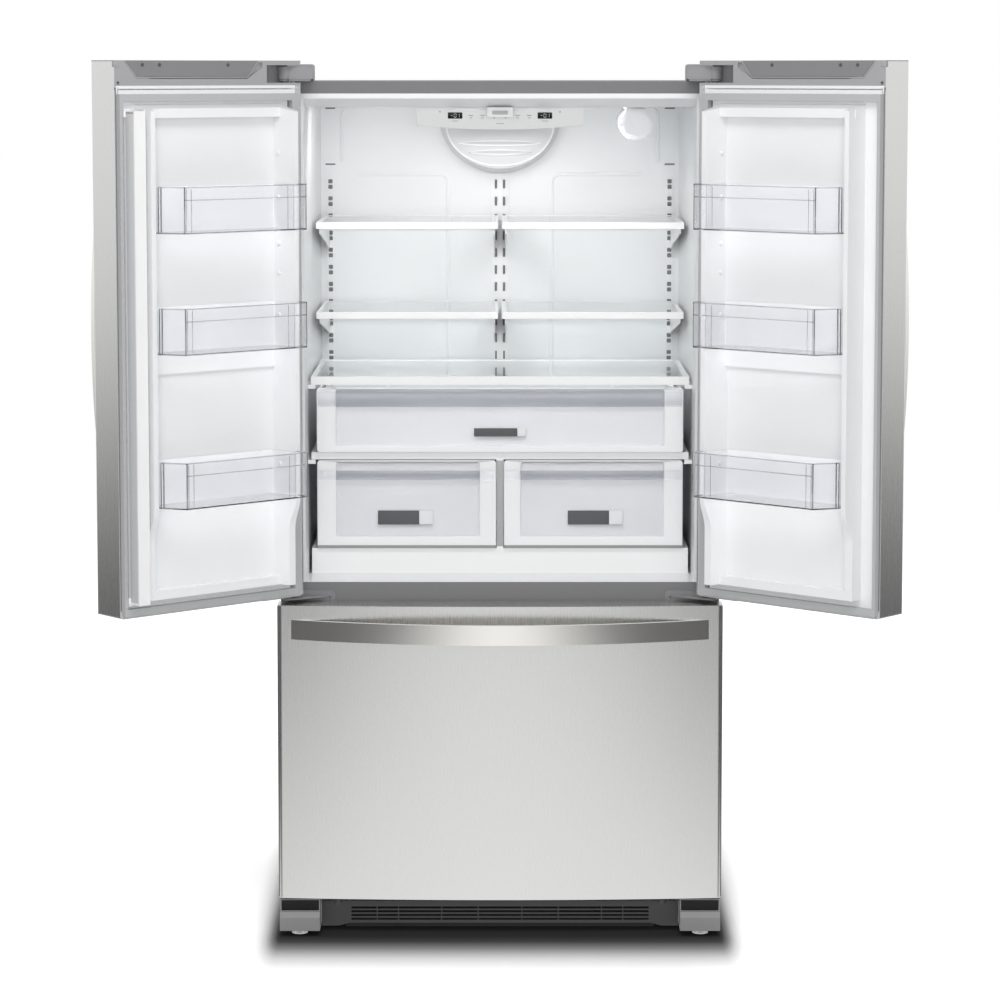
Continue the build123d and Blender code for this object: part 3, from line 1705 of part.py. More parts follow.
# Toe grille with rows of air slots, on tabs from the front beam.
wing_width = 57.0
wing_slope = 22.0
wing_step = 6.0
grille_low = 15.0
grille_drop = 20.0  # slotted part's top below the insulated body
grille_setback = 38.0
grille_thickness = 5.0
slot_height = 4.6
slot_pitch = 7.9
slot_rows = 4
slot_half = 306.0  # the rows' half length, broken by narrow ribs
slot_ribs = (-253.0, -209.0, -120.0, -45.0, 45.0, 120.0, 209.0, 253.0)
rib_width = 2.0
wing_notch_x = 334.0  # screw notches in the top of the wings
wing_notch_radius = 8.0
tab_low = 180.0
tab_high = 220.0
tab_thickness = 3.0
wing_half = foot_low_x - 1
grille_half = wing_half - wing_width
grille_high = cabinet_base - grille_drop
grille_y = front_y - grille_setback
slot_starts = [-slot_half] + [rib + rib_width / 2 for rib in slot_ribs]
slot_ends = [rib - rib_width / 2 for rib in slot_ribs] + [slot_half]
with BuildPart() as base_grille:
    with BuildSketch(Plane.XZ.offset(-grille_y)):
        with BuildLine():
            Polyline(
                (-wing_half, grille_low - wing_step),
                (-wing_half, grille_high + wing_step),
                (wing_half, grille_high + wing_step),
                (wing_half, grille_low - wing_step),
                (grille_half + wing_slope, grille_low - wing_step),
                (grille_half, grille_low),
                (-grille_half, grille_low),
                (-grille_half - wing_slope, grille_low - wing_step),
                close=True,
            )
        make_face()
        for low, high in zip(slot_starts, slot_ends):
            with Locations(((low + high) / 2, (grille_low + grille_high) / 2)):
                with GridLocations(1, slot_pitch, 1, slot_rows):
                    Rectangle(high - low, slot_height, mode=Mode.SUBTRACT)
        for side in sides:
            with Locations((side * wing_notch_x, grille_high + wing_step)):
                Circle(wing_notch_radius, mode=Mode.SUBTRACT)
    extrude(amount=-grille_thickness)
    pair(
        (tab_low, grille_y + grille_thickness - 1, grille_high - tab_thickness),
        (tab_high, front_y + front_lip, grille_high),
    )
save(base_grille.part, "base_grille")

# Louvred cover over the machine compartment, with a hole for the water valve's stub.
cover_sheet = 2.0
cover_sheet_y = back_y - 4
louvre_field = (-250.0, 150.0)
louvre_size = (180.0, 5.0)
louvre_pitch = 14.0
louvre_rows = 9
louvre_level = cabinet_base + 95
valve_x = 350.0
valve_level = machine_height - 60
valve_hole = 12.0
with BuildPart() as machine_cover:
    block(
        (-half + steel + 1, cover_sheet_y, cabinet_base + 1),
        (half - steel - 1, cover_sheet_y + cover_sheet, machine_height - 0.5),
    )
    block(
        (-rail_inner + 6, cover_sheet_y, pan_top + 1),
        (rail_inner - 6, cover_sheet_y + cover_sheet, cabinet_base + 2),
    )
    with BuildSketch(Plane.XZ.offset(-cover_sheet_y)):
        for x in louvre_field:
            with Locations((x, louvre_level)):
                with GridLocations(1, louvre_pitch, 1, louvre_rows):
                    SlotOverall(*louvre_size)
        with Locations((valve_x, valve_level)):
            Circle(valve_hole)
    extrude(amount=-cover_sheet - 1, mode=Mode.SUBTRACT)
save(machine_cover.part, "machine_cover")

# Rear connections: the water valve, whose stub passes through the cover, and the power inlet.
valve_radius = 3.175
valve_half = 25.0
valve_depth = 35.7
stub_length = 18.0
inlet_x = -392.0
inlet_level = machine_height - 50
inlet_flange = (28.0, 18.0)
inlet_body = (23.0, 14.0)
inlet_room = (19.0, 10.0)
inlet_depth = 6.0
inlet_y = cover_sheet_y + cover_sheet
valve_back = cover_sheet_y - seat_gap
with BuildPart() as rear_connections:
    block(
        (valve_x - valve_half, valve_back - valve_depth, valve_level - 15),
        (valve_x + valve_half, valve_back, valve_level + 15),
    )
    with BuildSketch(Plane.XZ.offset(-(cover_sheet_y - 1))):
        with Locations((valve_x, valve_level)):
            Circle(valve_radius)
    extrude(amount=-stub_length)
    for (width, height), low, high, mode in (
        (inlet_flange, inlet_y, inlet_y + 2, Mode.ADD),
        (inlet_body, inlet_y + 2, inlet_y + 2 + inlet_depth, Mode.ADD),
        (inlet_room, inlet_y + 3, inlet_y + 2 + inlet_depth, Mode.SUBTRACT),
    ):
        block(
            (inlet_x - width, low, inlet_level - height),
            (inlet_x + width, high, inlet_level + height),
            mode,
        )
save(rear_connections.part, "rear_connections")
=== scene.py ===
# %% [markdown]
# # A french door refrigerator with its doors open
# This notebook dresses a jointed refrigerator. The solids come from a CAD model that is
# already at its real size, so nothing here moves or resizes them. What is left to do is
# what a finisher would do: sheet steel gets its grain, moulded plastic its texture, and the
# small trim that a CAD solid leaves out is modelled as its own mesh and fixed to the body
# it belongs to. The solids are in metres. Trim is drawn in millimetres, in the same frame,
# and scaled to metres when it is settled.

# %% Load the solids and note the size they fill
import math

import bmesh
import bpy
from mathutils import Matrix, Vector


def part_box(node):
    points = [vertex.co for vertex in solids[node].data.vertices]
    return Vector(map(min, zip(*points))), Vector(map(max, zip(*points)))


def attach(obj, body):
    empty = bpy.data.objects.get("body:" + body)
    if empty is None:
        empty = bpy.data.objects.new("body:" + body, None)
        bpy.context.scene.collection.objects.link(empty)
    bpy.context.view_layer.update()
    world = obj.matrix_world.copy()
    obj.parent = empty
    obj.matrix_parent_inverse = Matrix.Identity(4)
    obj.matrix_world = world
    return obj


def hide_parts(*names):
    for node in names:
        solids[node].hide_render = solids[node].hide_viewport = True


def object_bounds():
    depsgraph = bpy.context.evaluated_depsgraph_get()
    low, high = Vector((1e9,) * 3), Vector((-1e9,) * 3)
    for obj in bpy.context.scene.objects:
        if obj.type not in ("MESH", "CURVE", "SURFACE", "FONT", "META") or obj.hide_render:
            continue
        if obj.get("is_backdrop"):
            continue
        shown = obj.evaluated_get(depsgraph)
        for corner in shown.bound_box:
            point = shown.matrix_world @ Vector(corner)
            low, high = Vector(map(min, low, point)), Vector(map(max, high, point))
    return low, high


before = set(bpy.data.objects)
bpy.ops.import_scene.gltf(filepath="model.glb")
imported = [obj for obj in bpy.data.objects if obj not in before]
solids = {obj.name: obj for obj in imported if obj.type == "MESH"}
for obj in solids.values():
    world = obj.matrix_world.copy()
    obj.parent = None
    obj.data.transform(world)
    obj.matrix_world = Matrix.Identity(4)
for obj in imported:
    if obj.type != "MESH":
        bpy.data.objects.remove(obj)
cad_low, cad_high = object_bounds()
MM = 0.001
print(len(solids), "solids fill", [round(v, 3) for v in cad_high - cad_low], "m")

# %% [markdown]
# Positions are read from the solids. A few of them are used again and again, so they get
# names: the planes of the cabinet and the back wall of the fresh food compartment. When the
# CAD model changes, the trim follows.

# %% Places read from the solids
shell_low, shell_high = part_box("cabinet_shell")
cabinet_front = shell_low.y
cabinet_back = shell_high.y
cabinet_side = shell_high.x
cabinet_top = shell_high.z
inner_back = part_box("shelf_ladders")[1].y  # face of the compartment's back wall
print("cabinet front at", round(cabinet_front, 3), "back wall at", round(inner_back, 3))

# %% [markdown]
# ## Camera
# The refrigerator is seen straight on, from the height of its top and from about six and a
# half metres, with a long lens. A real product camera keeps uprights parallel by shifting
# its lens. A large shift would push the object out of other views, so most of the drop is
# a small tilt and only a part of it is shift.

# %% Camera
EYE = Vector((0.0, -6.726, 1.762))
TILT = 5.479  # degrees below the horizon
LENS = 116.1
SHIFT = -0.12
camera_data = bpy.data.cameras.new("studio_camera")
camera = bpy.data.objects.new("studio_camera", camera_data)
bpy.context.scene.collection.objects.link(camera)
bpy.context.scene.camera = camera
camera.location = EYE
camera.rotation_euler = (math.radians(90 - TILT), 0, 0)
camera_data.lens = LENS
camera_data.sensor_width = 36
camera_data.shift_y = SHIFT
print("camera", round((EYE - Vector((0, cabinet_front, EYE.z))).length, 2), "m from the front")

# %% [markdown]
# ## Light
# Appliances look best in a white room: the world is a large even source, and soft
# boxes in front give the faces a direction. Rays that look straight at the world, or see it
# in metal or through glass, find plain white.

# %% World
WORLD_LEVEL = 0.44
WHITE = (1, 1, 1, 1)


def new_node(tree, kind, **values):
    """A shader node with some of its properties and input sockets set."""
    node = tree.nodes.new("ShaderNode" + kind)
    for key, value in values.items():
        if key.startswith("in_"):
            socket = key[3:].replace("_", " ")
            node.inputs[int(socket) if socket.isdigit() else socket].default_value = value
        else:
            setattr(node, key, value)
    return node


def link(tree, *wires):
    """Join sockets. Each wire names a node, its output, the next node and its input."""
    for start, output, end, socket in wires:
        tree.links.new(start.outputs[output], end.inputs[socket])


world = bpy.data.worlds.new("white_room")
bpy.context.scene.world = world
world.use_nodes = True
tree = world.node_tree
tree.nodes.clear()
output = new_node(tree, "OutputWorld")
even = new_node(tree, "Background", in_Color=WHITE, in_Strength=WORLD_LEVEL)
seen = new_node(tree, "Background", in_Color=WHITE, in_Strength=1.0)
path = new_node(tree, "LightPath")
direct = new_node(tree, "Math", operation="MAXIMUM")
direct_or_metal = new_node(tree, "Math", operation="MAXIMUM")
pick = new_node(tree, "MixShader")
link(
    tree,
    (path, "Is Camera Ray", direct, 0),
    (path, "Is Transmission Ray", direct, 1),
    (direct, 0, direct_or_metal, 0),
    (path, "Is Glossy Ray", direct_or_metal, 1),
    (direct_or_metal, 0, pick, 0),
    (even, 0, pick, 1),
    (seen, 0, pick, 2),
    (pick, 0, output, 0),
)
print("world lights at", WORLD_LEVEL)

# %% Lamps
LAMP_DEPTH = 0.05  # of the narrow lamps under the ceiling
CEILING_LAMPS = (("left_light", -0.255, 0.15, 0.64), ("right_light", 0.2, LAMP_DEPTH, 0.52))


def soft_box(name, place, target, width, height, watts):
    """A rectangular lamp that faces a point. Metal doesn't show it, nor does the camera."""
    data = bpy.data.lights.new(name, "AREA")
    data.shape = "RECTANGLE"
    data.size = width
    data.size_y = height
    data.energy = watts
    lamp = bpy.data.objects.new(name, data)
    bpy.context.scene.collection.objects.link(lamp)
    lamp.location = place
    lamp.rotation_euler = (Vector(target) - Vector(place)).to_track_quat("-Z", "Y").to_euler()
    lamp.visible_glossy = False
    lamp.visible_camera = False


soft_box("front_box", (0, -5.2, 1.9), (0, cabinet_front, 1.2), 2.2, 1.6, 68)
soft_box("high_box", (0, -2.6, 4.0), (0, cabinet_front, 1.0), 2.4, 1.0, 50)
soft_box("rear_box", (0.8, 4.2, 3.2), (0, cabinet_back, 1.0), 3.2, 1.6, 60)
for name, x, width, watts in CEILING_LAMPS:
    place = (x, cabinet_front + 0.13, cabinet_top - 0.075)
    soft_box(name, place, (x * 0.5, inner_back, 1.25), width, LAMP_DEPTH, watts)
place = (0, inner_back - 0.1, cabinet_top - 0.12)
soft_box("shield_light", place, (0, inner_back - 0.06, 1.0), 0.2, LAMP_DEPTH, 0.1)

# %% [markdown]
# The floor is one pale plane. Its colour is painted darker close to the base, as a painted
# contact shadow, and is pale from a hand's breadth on. Where a ray looks straight at it, it
# also adds a little light of its own, more and more with the distance from the base, so that
# it meets the white of the world without a horizon while the painted shadow close to the feet
# stays dark. Metal sees the floor too: there it is white in the middle of the studio and far
# behind, and grey at both sides of the refrigerator, which shapes the steel.

# %% Floor
FLOOR_REACH = 60.0
FAR_LIFT, LIFT_OVER = 0.6, 0.42
# The painted contact shadow: over this reach from the base, the floor's colour is darkened by this
# ramp of grey levels.
PAINTED_SHADOW_REACH = 0.4
PAINTED_SHADOW = ((0, 0.04), (0.12, 0.05), (0.25, 0.2), (0.42, 0.6), (0.6, 0.84), (1, 0.9))
feet_low, feet_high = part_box("foot_covers")
BASE_FOOT = feet_low.y + 0.01
BASE_HALF = (feet_high.x - 0.004, (cabinet_back - BASE_FOOT) / 2, 1.0)
BASE_MIDDLE = (0.0, (cabinet_back + BASE_FOOT) / 2, 0.0)
SIDES = (5.0, 1.0, 1.0)  # the shade is that much narrower beside the base than before it
STUDIO_FALL = ((0, 1.0), (0.1, 0.95), (0.2, 0.74), (0.3, 0.5), (0.42, 0.1), (1, 0.08))
FALL_PER_METRE = 0.25
DIM_UNTIL, WHITE_FROM = 0.8, 3.4


def grey_ramp(tree, stops):
    """A colour ramp through grey levels, the first of them at 0."""
    node = new_node(tree, "ValToRGB")
    elements = node.color_ramp.elements
    elements.remove(elements[1])
    for share, level in stops:
        stop = elements.new(share) if share else elements[0]
        stop.position = share
        stop.color = (level, level, level, 1)
    return node


floor_mesh = bpy.data.meshes.new("floor")
floor_mesh.from_pydata(
    [(x * FLOOR_REACH, y * FLOOR_REACH, 0) for x, y in ((-1, -1), (1, -1), (1, 1), (-1, 1))],
    [],
    [(0, 1, 2, 3)],
)
floor = bpy.data.objects.new("floor", floor_mesh)
bpy.context.scene.collection.objects.link(floor)
floor_paint = bpy.data.materials.new("floor_paint")
floor_paint.use_nodes = True
tree = floor_paint.node_tree
tree.nodes.clear()
output = new_node(tree, "OutputMaterial")
matte = new_node(tree, "BsdfDiffuse")
shade = grey_ramp(tree, PAINTED_SHADOW)
reach = new_node(tree, "MapRange", in_From_Max=PAINTED_SHADOW_REACH)
narrowed = new_node(tree, "VectorMath", operation="MULTIPLY", in_1=SIDES)
glow = new_node(tree, "Emission", in_Color=WHITE)
in_metal = new_node(tree, "Emission", in_Strength=1.0)
path = new_node(tree, "LightPath")
place = new_node(tree, "TexCoord")
offset = new_node(tree, "VectorMath", operation="SUBTRACT", in_1=BASE_MIDDLE)
folded = new_node(tree, "VectorMath", operation="ABSOLUTE")
beyond = new_node(tree, "VectorMath", operation="SUBTRACT", in_1=BASE_HALF)
outside = new_node(tree, "VectorMath", operation="MAXIMUM")
away = new_node(tree, "VectorMath", operation="LENGTH")
lift = new_node(
    tree,
    "MapRange",
    interpolation_type="SMOOTHSTEP",
    in_From_Max=LIFT_OVER,
    in_To_Min=0.0,
    in_To_Max=FAR_LIFT,
)
shown = new_node(tree, "Math", operation="MULTIPLY")
behind = new_node(tree, "SeparateXYZ")
far = new_node(tree, "MapRange", in_From_Min=DIM_UNTIL, in_From_Max=WHITE_FROM)
lighter = new_node(tree, "Math", operation="MAXIMUM")
split = new_node(tree, "SeparateXYZ")
sideways = new_node(tree, "Math", operation="MULTIPLY", in_1=FALL_PER_METRE)
fall = grey_ramp(tree, STUDIO_FALL)
both = new_node(tree, "AddShader")
pick = new_node(tree, "MixShader")
link(
    tree,
    (place, "Object", offset, 0),
    (offset, 0, folded, 0),
    (folded, 0, beyond, 0),
    (beyond, 0, outside, 0),
    (outside, 0, narrowed, 0),
    (narrowed, 0, away, 0),
    (away, "Value", reach, "Value"),
    (reach, 0, shade, "Fac"),
    (shade, "Color", matte, "Color"),
    (away, "Value", lift, "Value"),
    (lift, 0, shown, 0),
    (path, "Is Camera Ray", shown, 1),
    (shown, 0, glow, "Strength"),
    (folded, 0, split, 0),
    (split, "X", sideways, 0),
    (sideways, 0, fall, "Fac"),
    (offset, 0, behind, 0),
    (behind, "Y", far, "Value"),
    (far, 0, lighter, 0),
    (fall, "Color", lighter, 1),
    (lighter, 0, in_metal, "Color"),
    (matte, 0, both, 0),
    (glow, 0, both, 1),
    (path, "Is Glossy Ray", pick, 0),
    (both, 0, pick, 1),
    (in_metal, 0, pick, 2),
    (pick, 0, output, 0),
)
floor_mesh.materials.append(floor_paint)
floor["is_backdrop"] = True
print("floor laid")

# %% [markdown]
# ## Finishes
# Colours are noted as a painter would read them off a swatch, from 0 to 255, and turned
# into the linear values that a renderer needs. Each finish then takes one recipe: a base
# colour with a little drift, a roughness that wanders, and a fine bump. What changes from
# one finish to the next is the scale and the direction of the noise: long streaks for
# brushed steel, grains for moulded plastic, soft ripples for blown or pressed sheet.

# %% Colours
def swatch(*levels):
    """A linear colour from three swatch levels between 11 and 255."""
    return (*(((v / 255 + 0.055) / 1.055) ** 2.4 for v in levels), 1.0)


def shaded(colour, share):
    """The same colour, lighter or darker by a share."""
    return (*(min(1.0, c * share) for c in colour[:3]), 1.0)


print("mid grey is", round(swatch(128)[0], 3))

# %% The common recipe
finishes = {}  # by name; the frame brings plain materials of its own under some of the names


def grained(name, levels, roughness, grain, drift=0.04, rough_drift=0.06, bump=0.05, depth=0.0002):
    """A finish whose colour, roughness and bump follow one stretched noise."""
    colour = swatch(*levels)
    made = bpy.data.materials.new(name)
    made.use_nodes = True
    tree = made.node_tree
    shader = tree.nodes["Principled BSDF"]
    place = new_node(tree, "TexCoord")
    stretch = new_node(tree, "Mapping", in_Scale=grain)
    noise = new_node(tree, "TexNoise", in_Scale=1.0, in_Detail=3.0)
    tint = new_node(tree, "ValToRGB")
    for stop, at, share in zip(tint.color_ramp.elements, (0.3, 0.7), (1 - drift, 1 + drift)):
        stop.color = shaded(colour, share)
        stop.position = at
    low, high = max(0.02, roughness - rough_drift), roughness + rough_drift
    wander = new_node(tree, "MapRange", in_To_Min=low, in_To_Max=high)
    ripple = new_node(tree, "Bump", in_Strength=bump, in_Distance=depth)
    link(
        tree,
        (place, "Object", stretch, "Vector"),
        (stretch, "Vector", noise, "Vector"),
        (noise, "Fac", tint, "Fac"),
        (noise, "Fac", wander, "Value"),
        (noise, "Fac", ripple, "Height"),
        (tint, "Color", shader, "Base Color"),
        (wander, 0, shader, "Roughness"),
        (ripple, "Normal", shader, "Normal"),
    )
    finishes[name] = made
    return made


def tuned(made, **values):
    """Set plain values on a finish's own shader sockets."""
    shader = made.node_tree.nodes["Principled BSDF"]
    for key, value in values.items():
        shader.inputs[key.replace("_", " ")].default_value = value
    return made


# %% [markdown]
# Brushed stainless steel is a metal whose scratches all run one way. On this refrigerator
# they run up and down. A noise that is squeezed to a third of a millimetre across the grain
# and stretched to a hand's breadth along it gives the streaks, and anisotropy spreads the
# highlights across them.

# %% Metals
UP_GRAIN = (2600, 2600, 9)
steel = grained("stainless_steel", (224, 224, 223), 0.27, UP_GRAIN, 0.012, 0.03, 0.05, 0.0001)
tuned(steel, Metallic=1.0, Anisotropic=0.2)
for metal in (
    grained("satin_handle", (246, 244, 240), 0.2, (900, 900, 900), 0.02, 0.04, 0.04, 0.0001),
    grained("zinc_plate", (190, 192, 196), 0.42, (60, 60, 60), 0.1, 0.1, 0.05, 0.0002),
    grained("mill_aluminium", (205, 207, 210), 0.35, (400, 30, 400), 0.06, 0.08, 0.08, 0.0001),
):
    tuned(metal, Metallic=1.0)
print(len(finishes), "finishes with the metals")

# %% Paints and plastics
PEEL = (420, 420, 420)  # orange peel of sprayed paint, a bump every couple of millimetres
FINE = (1500, 1500, 1500)  # spark-eroded texture of a moulded part
SOFT = (14, 14, 14)  # slow ripples of thermoformed sheet
grained("cabinet_paint", (124, 124, 126), 0.42, PEEL, 0.03, 0.05, 0.25)
grained("hinge_grey", (138, 138, 140), 0.4, PEEL, 0.04, 0.05, 0.2)
grained("rail_paint", (126, 126, 127), 0.38, PEEL, 0.03, 0.05, 0.2)
grained("black_enamel", (24, 24, 25), 0.3, PEEL, 0.05, 0.05, 0.2)
tuned(
    grained("liner_white", (240, 241, 242), 0.32, SOFT, 0.006, 0.03, 0.1, 0.001),
    Coat_Weight=0.15,
)
grained("lens_white", (212, 213, 213), 0.3, SOFT, 0.01, 0.04, 0.08)
grained("trim_white", (243, 243, 243), 0.36, FINE, 0.008, 0.04, 0.08)
grained("cap_grey", (164, 164, 166), 0.5, FINE, 0.03, 0.05, 0.2)
grained("cover_grey", (150, 150, 152), 0.42, FINE, 0.03, 0.05, 0.15)
grained("flap_grey", (205, 206, 208), 0.35, PEEL, 0.02, 0.05, 0.12)
grained("toe_grey", (68, 68, 70), 0.5, FINE, 0.04, 0.06, 0.2)
grained("foot_grey", (148, 148, 149), 0.48, FINE, 0.04, 0.06, 0.2)
grained("basket_white", (236, 237, 239), 0.38, FINE, 0.01, 0.04, 0.08)
grained("gasket_grey", (182, 183, 184), 0.6, (300, 300, 300), 0.02, 0.05, 0.2)
grained("fan_plastic", (60, 60, 62), 0.5, FINE, 0.05, 0.06, 0.2)
grained("roller_nylon", (52, 52, 54), 0.55, FINE, 0.05, 0.06, 0.2)
grained("poured_foam", (226, 212, 168), 0.9, (220, 220, 220), 0.08, 0.05, 0.6, 0.001)
print(len(finishes), "finishes so far")

# %% [markdown]
# Clear parts need one more thing. Light that only passes through a thin wall of clear
# plastic comes out nearly straight, but a path tracer treats a refracting wall as opaque to
# its lamps, so whatever stands behind it goes dark. The way round this is to let lamp rays
# through the wall untouched and to keep the refraction for what the eye sees.

# %% Clear finishes


def clear(name, levels, roughness, ior, grain, bump=0.03):
    """A see-through finish that lets lamp rays pass straight through."""
    made = grained(name, levels, roughness, grain, 0.005, 0.01, bump)
    tuned(made, IOR=ior, Transmission_Weight=1.0)
    tree = made.node_tree
    shader = tree.nodes["Principled BSDF"]
    output = tree.nodes["Material Output"]
    path = new_node(tree, "LightPath")
    tint = shaded(swatch(*levels), 0.96)
    through = new_node(tree, "BsdfTransparent", in_Color=tint)
    pick = new_node(tree, "MixShader")
    link(
        tree,
        (path, "Is Shadow Ray", pick, 0),
        (shader, 0, pick, 1),
        (through, 0, pick, 2),
        (pick, 0, output, "Surface"),
    )
    return made


clear("clear_styrene", (248, 248, 249), 0.06, 1.3, SOFT)
tuned(clear("frosted_styrene", (222, 223, 225), 0.3, 1.3, FINE, 0.1), Transmission_Weight=0.25)
clear("tempered_glass", (250, 252, 252), 0.03, 1.45, SOFT)
tuned(clear("milky_filter_plastic", (240, 241, 242), 0.3, 1.3, SOFT), Transmission_Weight=0.2)
print(len(finishes), "finishes with the clear ones")

# %% [markdown]
# Every solid of the model gets one of these finishes. The list reads like a bill of
# materials: a finish, then the parts that are made in it.

# %% Dress the solids
bill = (
    ("stainless_steel", "left_door_skin right_door_skin freezer_door_skin"),
    ("satin_handle", "left_door_handle right_door_handle freezer_door_handle"),
    ("cabinet_paint", "cabinet_shell"),
    ("rail_paint", "center_rail"),
    ("zinc_plate", "back_panel base_frame freezer_rails freezer_slides leveling_legs"),
    ("hinge_grey", "door_hinges"),
    ("liner_white", "fridge_liner freezer_liner freezer_door_liner"),
    ("liner_white", "left_door_liner right_door_liner"),
    ("trim_white", "shelf_ladders shelf_frames drawer_covers control_housing"),
    ("trim_white", "deli_front left_crisper_front right_crisper_front evaporator_cover"),
    ("cap_grey", "left_door_end_caps right_door_end_caps"),
    ("lens_white", "light_shield"),
    ("cover_grey", "hinge_covers"),
    ("trim_white", "mullion_flap"),
    ("gasket_grey", "left_door_gasket right_door_gasket freezer_door_gasket"),
    ("clear_styrene", "left_door_bins right_door_bins"),
    ("frosted_styrene", "deli_drawer left_crisper right_crisper"),
    ("tempered_glass", "shelf_glass"),
    ("milky_filter_plastic", "filter_cap filter_housing"),
    ("basket_white", "freezer_basket freezer_tray"),
    ("toe_grey", "base_grille"),
    ("foot_grey", "foot_covers"),
    ("roller_nylon", "front_rollers rear_rollers"),
    ("fan_plastic", "evaporator_fan condenser_fan machine_cover rear_connections"),
    ("black_enamel", "compressor condenser_coil"),
    ("mill_aluminium", "evaporator_coil"),
    ("poured_foam", "insulation_foam left_door_foam right_door_foam freezer_door_foam"),
)
for finish, names in bill:
    for name in names.split():
        solid = solids[name]
        solid.data.materials.clear()
        solid.data.materials.append(finishes[finish])
undressed = sorted(set(solids) - {n for _, names in bill for n in names.split()})
print("solids without a finish:", undressed)

# %% [markdown]
# No moulded or pressed edge is knife sharp. A narrow bevel on the edges of the parts that
# stand in the open gives each of them a thin line of light. The weld before it joins the
# seams of the tessellation, or the bevel would open them.

# %% Soft edges
SHARP_ANGLE = math.radians(40)  # an edge between faces that turn by more looks sharp
SOFT_EDGES = (
    (1.2, "hinge_covers foot_covers control_housing mullion_flap machine_cover"),
    (0.7, "drawer_covers shelf_frames left_door_end_caps right_door_end_caps door_hinges"),
)
for width, names in SOFT_EDGES:
    for name in names.split():
        weld = solids[name].modifiers.new("weld", "WELD")
        weld.merge_threshold = 1e-5
        bevel = solids[name].modifiers.new("soft_edge", "BEVEL")
        bevel.width = width * MM
        bevel.segments = 2
        bevel.limit_method = "ANGLE"
        bevel.angle_limit = SHARP_ANGLE
        bevel.harden_normals = True
print("soft edges on", sum(len(names.split()) for _, names in SOFT_EDGES), "solids")

# %% [markdown]
# ## Tools for the trim
# The trim is drawn in millimetres, as on a workshop drawing, and scaled once when a piece is
# settled. A few tools make nearly all of it: a block with rounded edges, a slab cut to an
# outline, a bead swept along a path, and a turned part. Each adds to one mesh, so a piece
# can be made of as many of them as the real part has features.

# %% Blocks and slabs


def round_edges(bm, edges, width, steps):
    """Round some edges of a mesh."""
    bmesh.ops.bevel(bm, geom=edges, offset=width, segments=steps, profile=0.5, affect="EDGES")


def rounded_block(bm, low, high, radius=1.0, steps=2):
    """A box between two corners with rounded edges."""
    made = bmesh.ops.create_cube(bm, size=1.0)["verts"]
    size = Vector(high) - Vector(low)
    middle = (Vector(high) + Vector(low)) / 2
    for v in made:
        v.co = Vector([a * b for a, b in zip(v.co, size)]) + middle
    edges = list({e for v in made for e in v.link_edges})
    round_edges(bm, edges, min(radius, min(abs(s) for s in size) * 0.45), steps)


LIFTS = {"XZ": lambda a, b, c: (a, c, b), "YZ": lambda a, b, c: (c, a, b)}


def slab(bm, outline, near, far, plane="XZ", edge=0.0, steps=2):
    """A plate cut to an outline, with its near rim rounded."""
    lift = LIFTS[plane]
    front = [bm.verts.new(lift(a, b, near)) for a, b in outline]
    back = [bm.verts.new(lift(a, b, far)) for a, b in outline]
    face = bm.faces.new(front)
    bm.faces.new(back[::-1])
    for i in range(len(outline)):
        bm.faces.new((front[i - 1], front[i], back[i], back[i - 1]))
    if edge:
        round_edges(bm, list(face.edges), edge, steps)


def arc(center, radius, start, end, steps=8):
    """Points on an arc between two angles in degrees."""
    turns = [math.radians(start + (end - start) * i / steps) for i in range(steps + 1)]
    return [(center[0] + radius * math.cos(t), center[1] + radius * math.sin(t)) for t in turns]


def rounded_outline(low, high, radius, steps=5):
    """A rectangle with rounded corners, as a list of points."""
    (x0, y0), (x1, y1) = low, high
    corners = ((x1, y1, 0), (x0, y1, 90), (x0, y0, 180), (x1, y0, 270))
    points = []
    for x, y, start in corners:
        middle = (x - radius if x == x1 else x + radius, y - radius if y == y1 else y + radius)
        points += arc(middle, radius, start, start + 90, steps)
    return points


print("tools: rounded_block, slab, arc, rounded_outline")

# %% Beads and turned parts


def sweep(bm, path, section, up, closed=False):
    """A bead of one section along a path that lies flat across the direction up."""
    up = Vector(up)
    rings = []
    for i, point in enumerate(path):
        before = Vector(path[i - 1]) if closed or i else Vector(point)
        after = Vector(path[(i + 1) % len(path)]) if closed or i < len(path) - 1 else Vector(point)
        across = up.cross(after - before).normalized()
        rings.append([bm.verts.new(Vector(point) + across * a + up * b) for a, b in section])
    for one, two in zip(rings, rings[1:] + rings[:1] if closed else rings[1:]):
        for j in range(len(section)):
            k = (j + 1) % len(section)
            bm.faces.new((one[j], one[k], two[k], two[j]))
    if not closed:
        bm.faces.new(rings[0][::-1])
        bm.faces.new(rings[-1])


def half_round(width, height, steps=5):
    """The section of a low rounded bead that stands on a face."""
    turns = [math.pi * i / steps for i in range(steps + 1)]
    crown = [(-width / 2 * math.cos(t), height * math.sin(t)) for t in turns]
    return [(-width / 2, -0.3), *crown, (width / 2, -0.3)]


def turned(bm, profile, place, axis="Z", steps=24):
    """A turned part: radius and height pairs spun about an axis through a place."""
    turn = {
        "Z": Matrix.Identity(4),
        "-Y": Matrix.Rotation(math.radians(90), 4, "X"),
        "Y": Matrix.Rotation(math.radians(-90), 4, "X"),
        "X": Matrix.Rotation(math.radians(90), 4, "Y"),
    }[axis]
    seat = Matrix.Translation(place) @ turn
    rings = []
    for radius, height in profile:
        if radius < 1e-6:
            rings.append([bm.verts.new(seat @ Vector((0, 0, height)))])
            continue
        angles = [2 * math.pi * i / steps for i in range(steps)]
        ring = [(radius * math.cos(a), radius * math.sin(a), height) for a in angles]
        rings.append([bm.verts.new(seat @ Vector(point)) for point in ring])
    for one, two in zip(rings, rings[1:]):
        for i in range(steps):
            j = (i + 1) % steps
            corners = [one[i % len(one)], one[j % len(one)], two[j % len(two)], two[i % len(two)]]
            bm.faces.new(list(dict.fromkeys(corners)))
    for ring in (rings[0], rings[-1]):
        if len(ring) > 1:
            bm.faces.new(ring)


print("tools: sweep, half_round, turned")

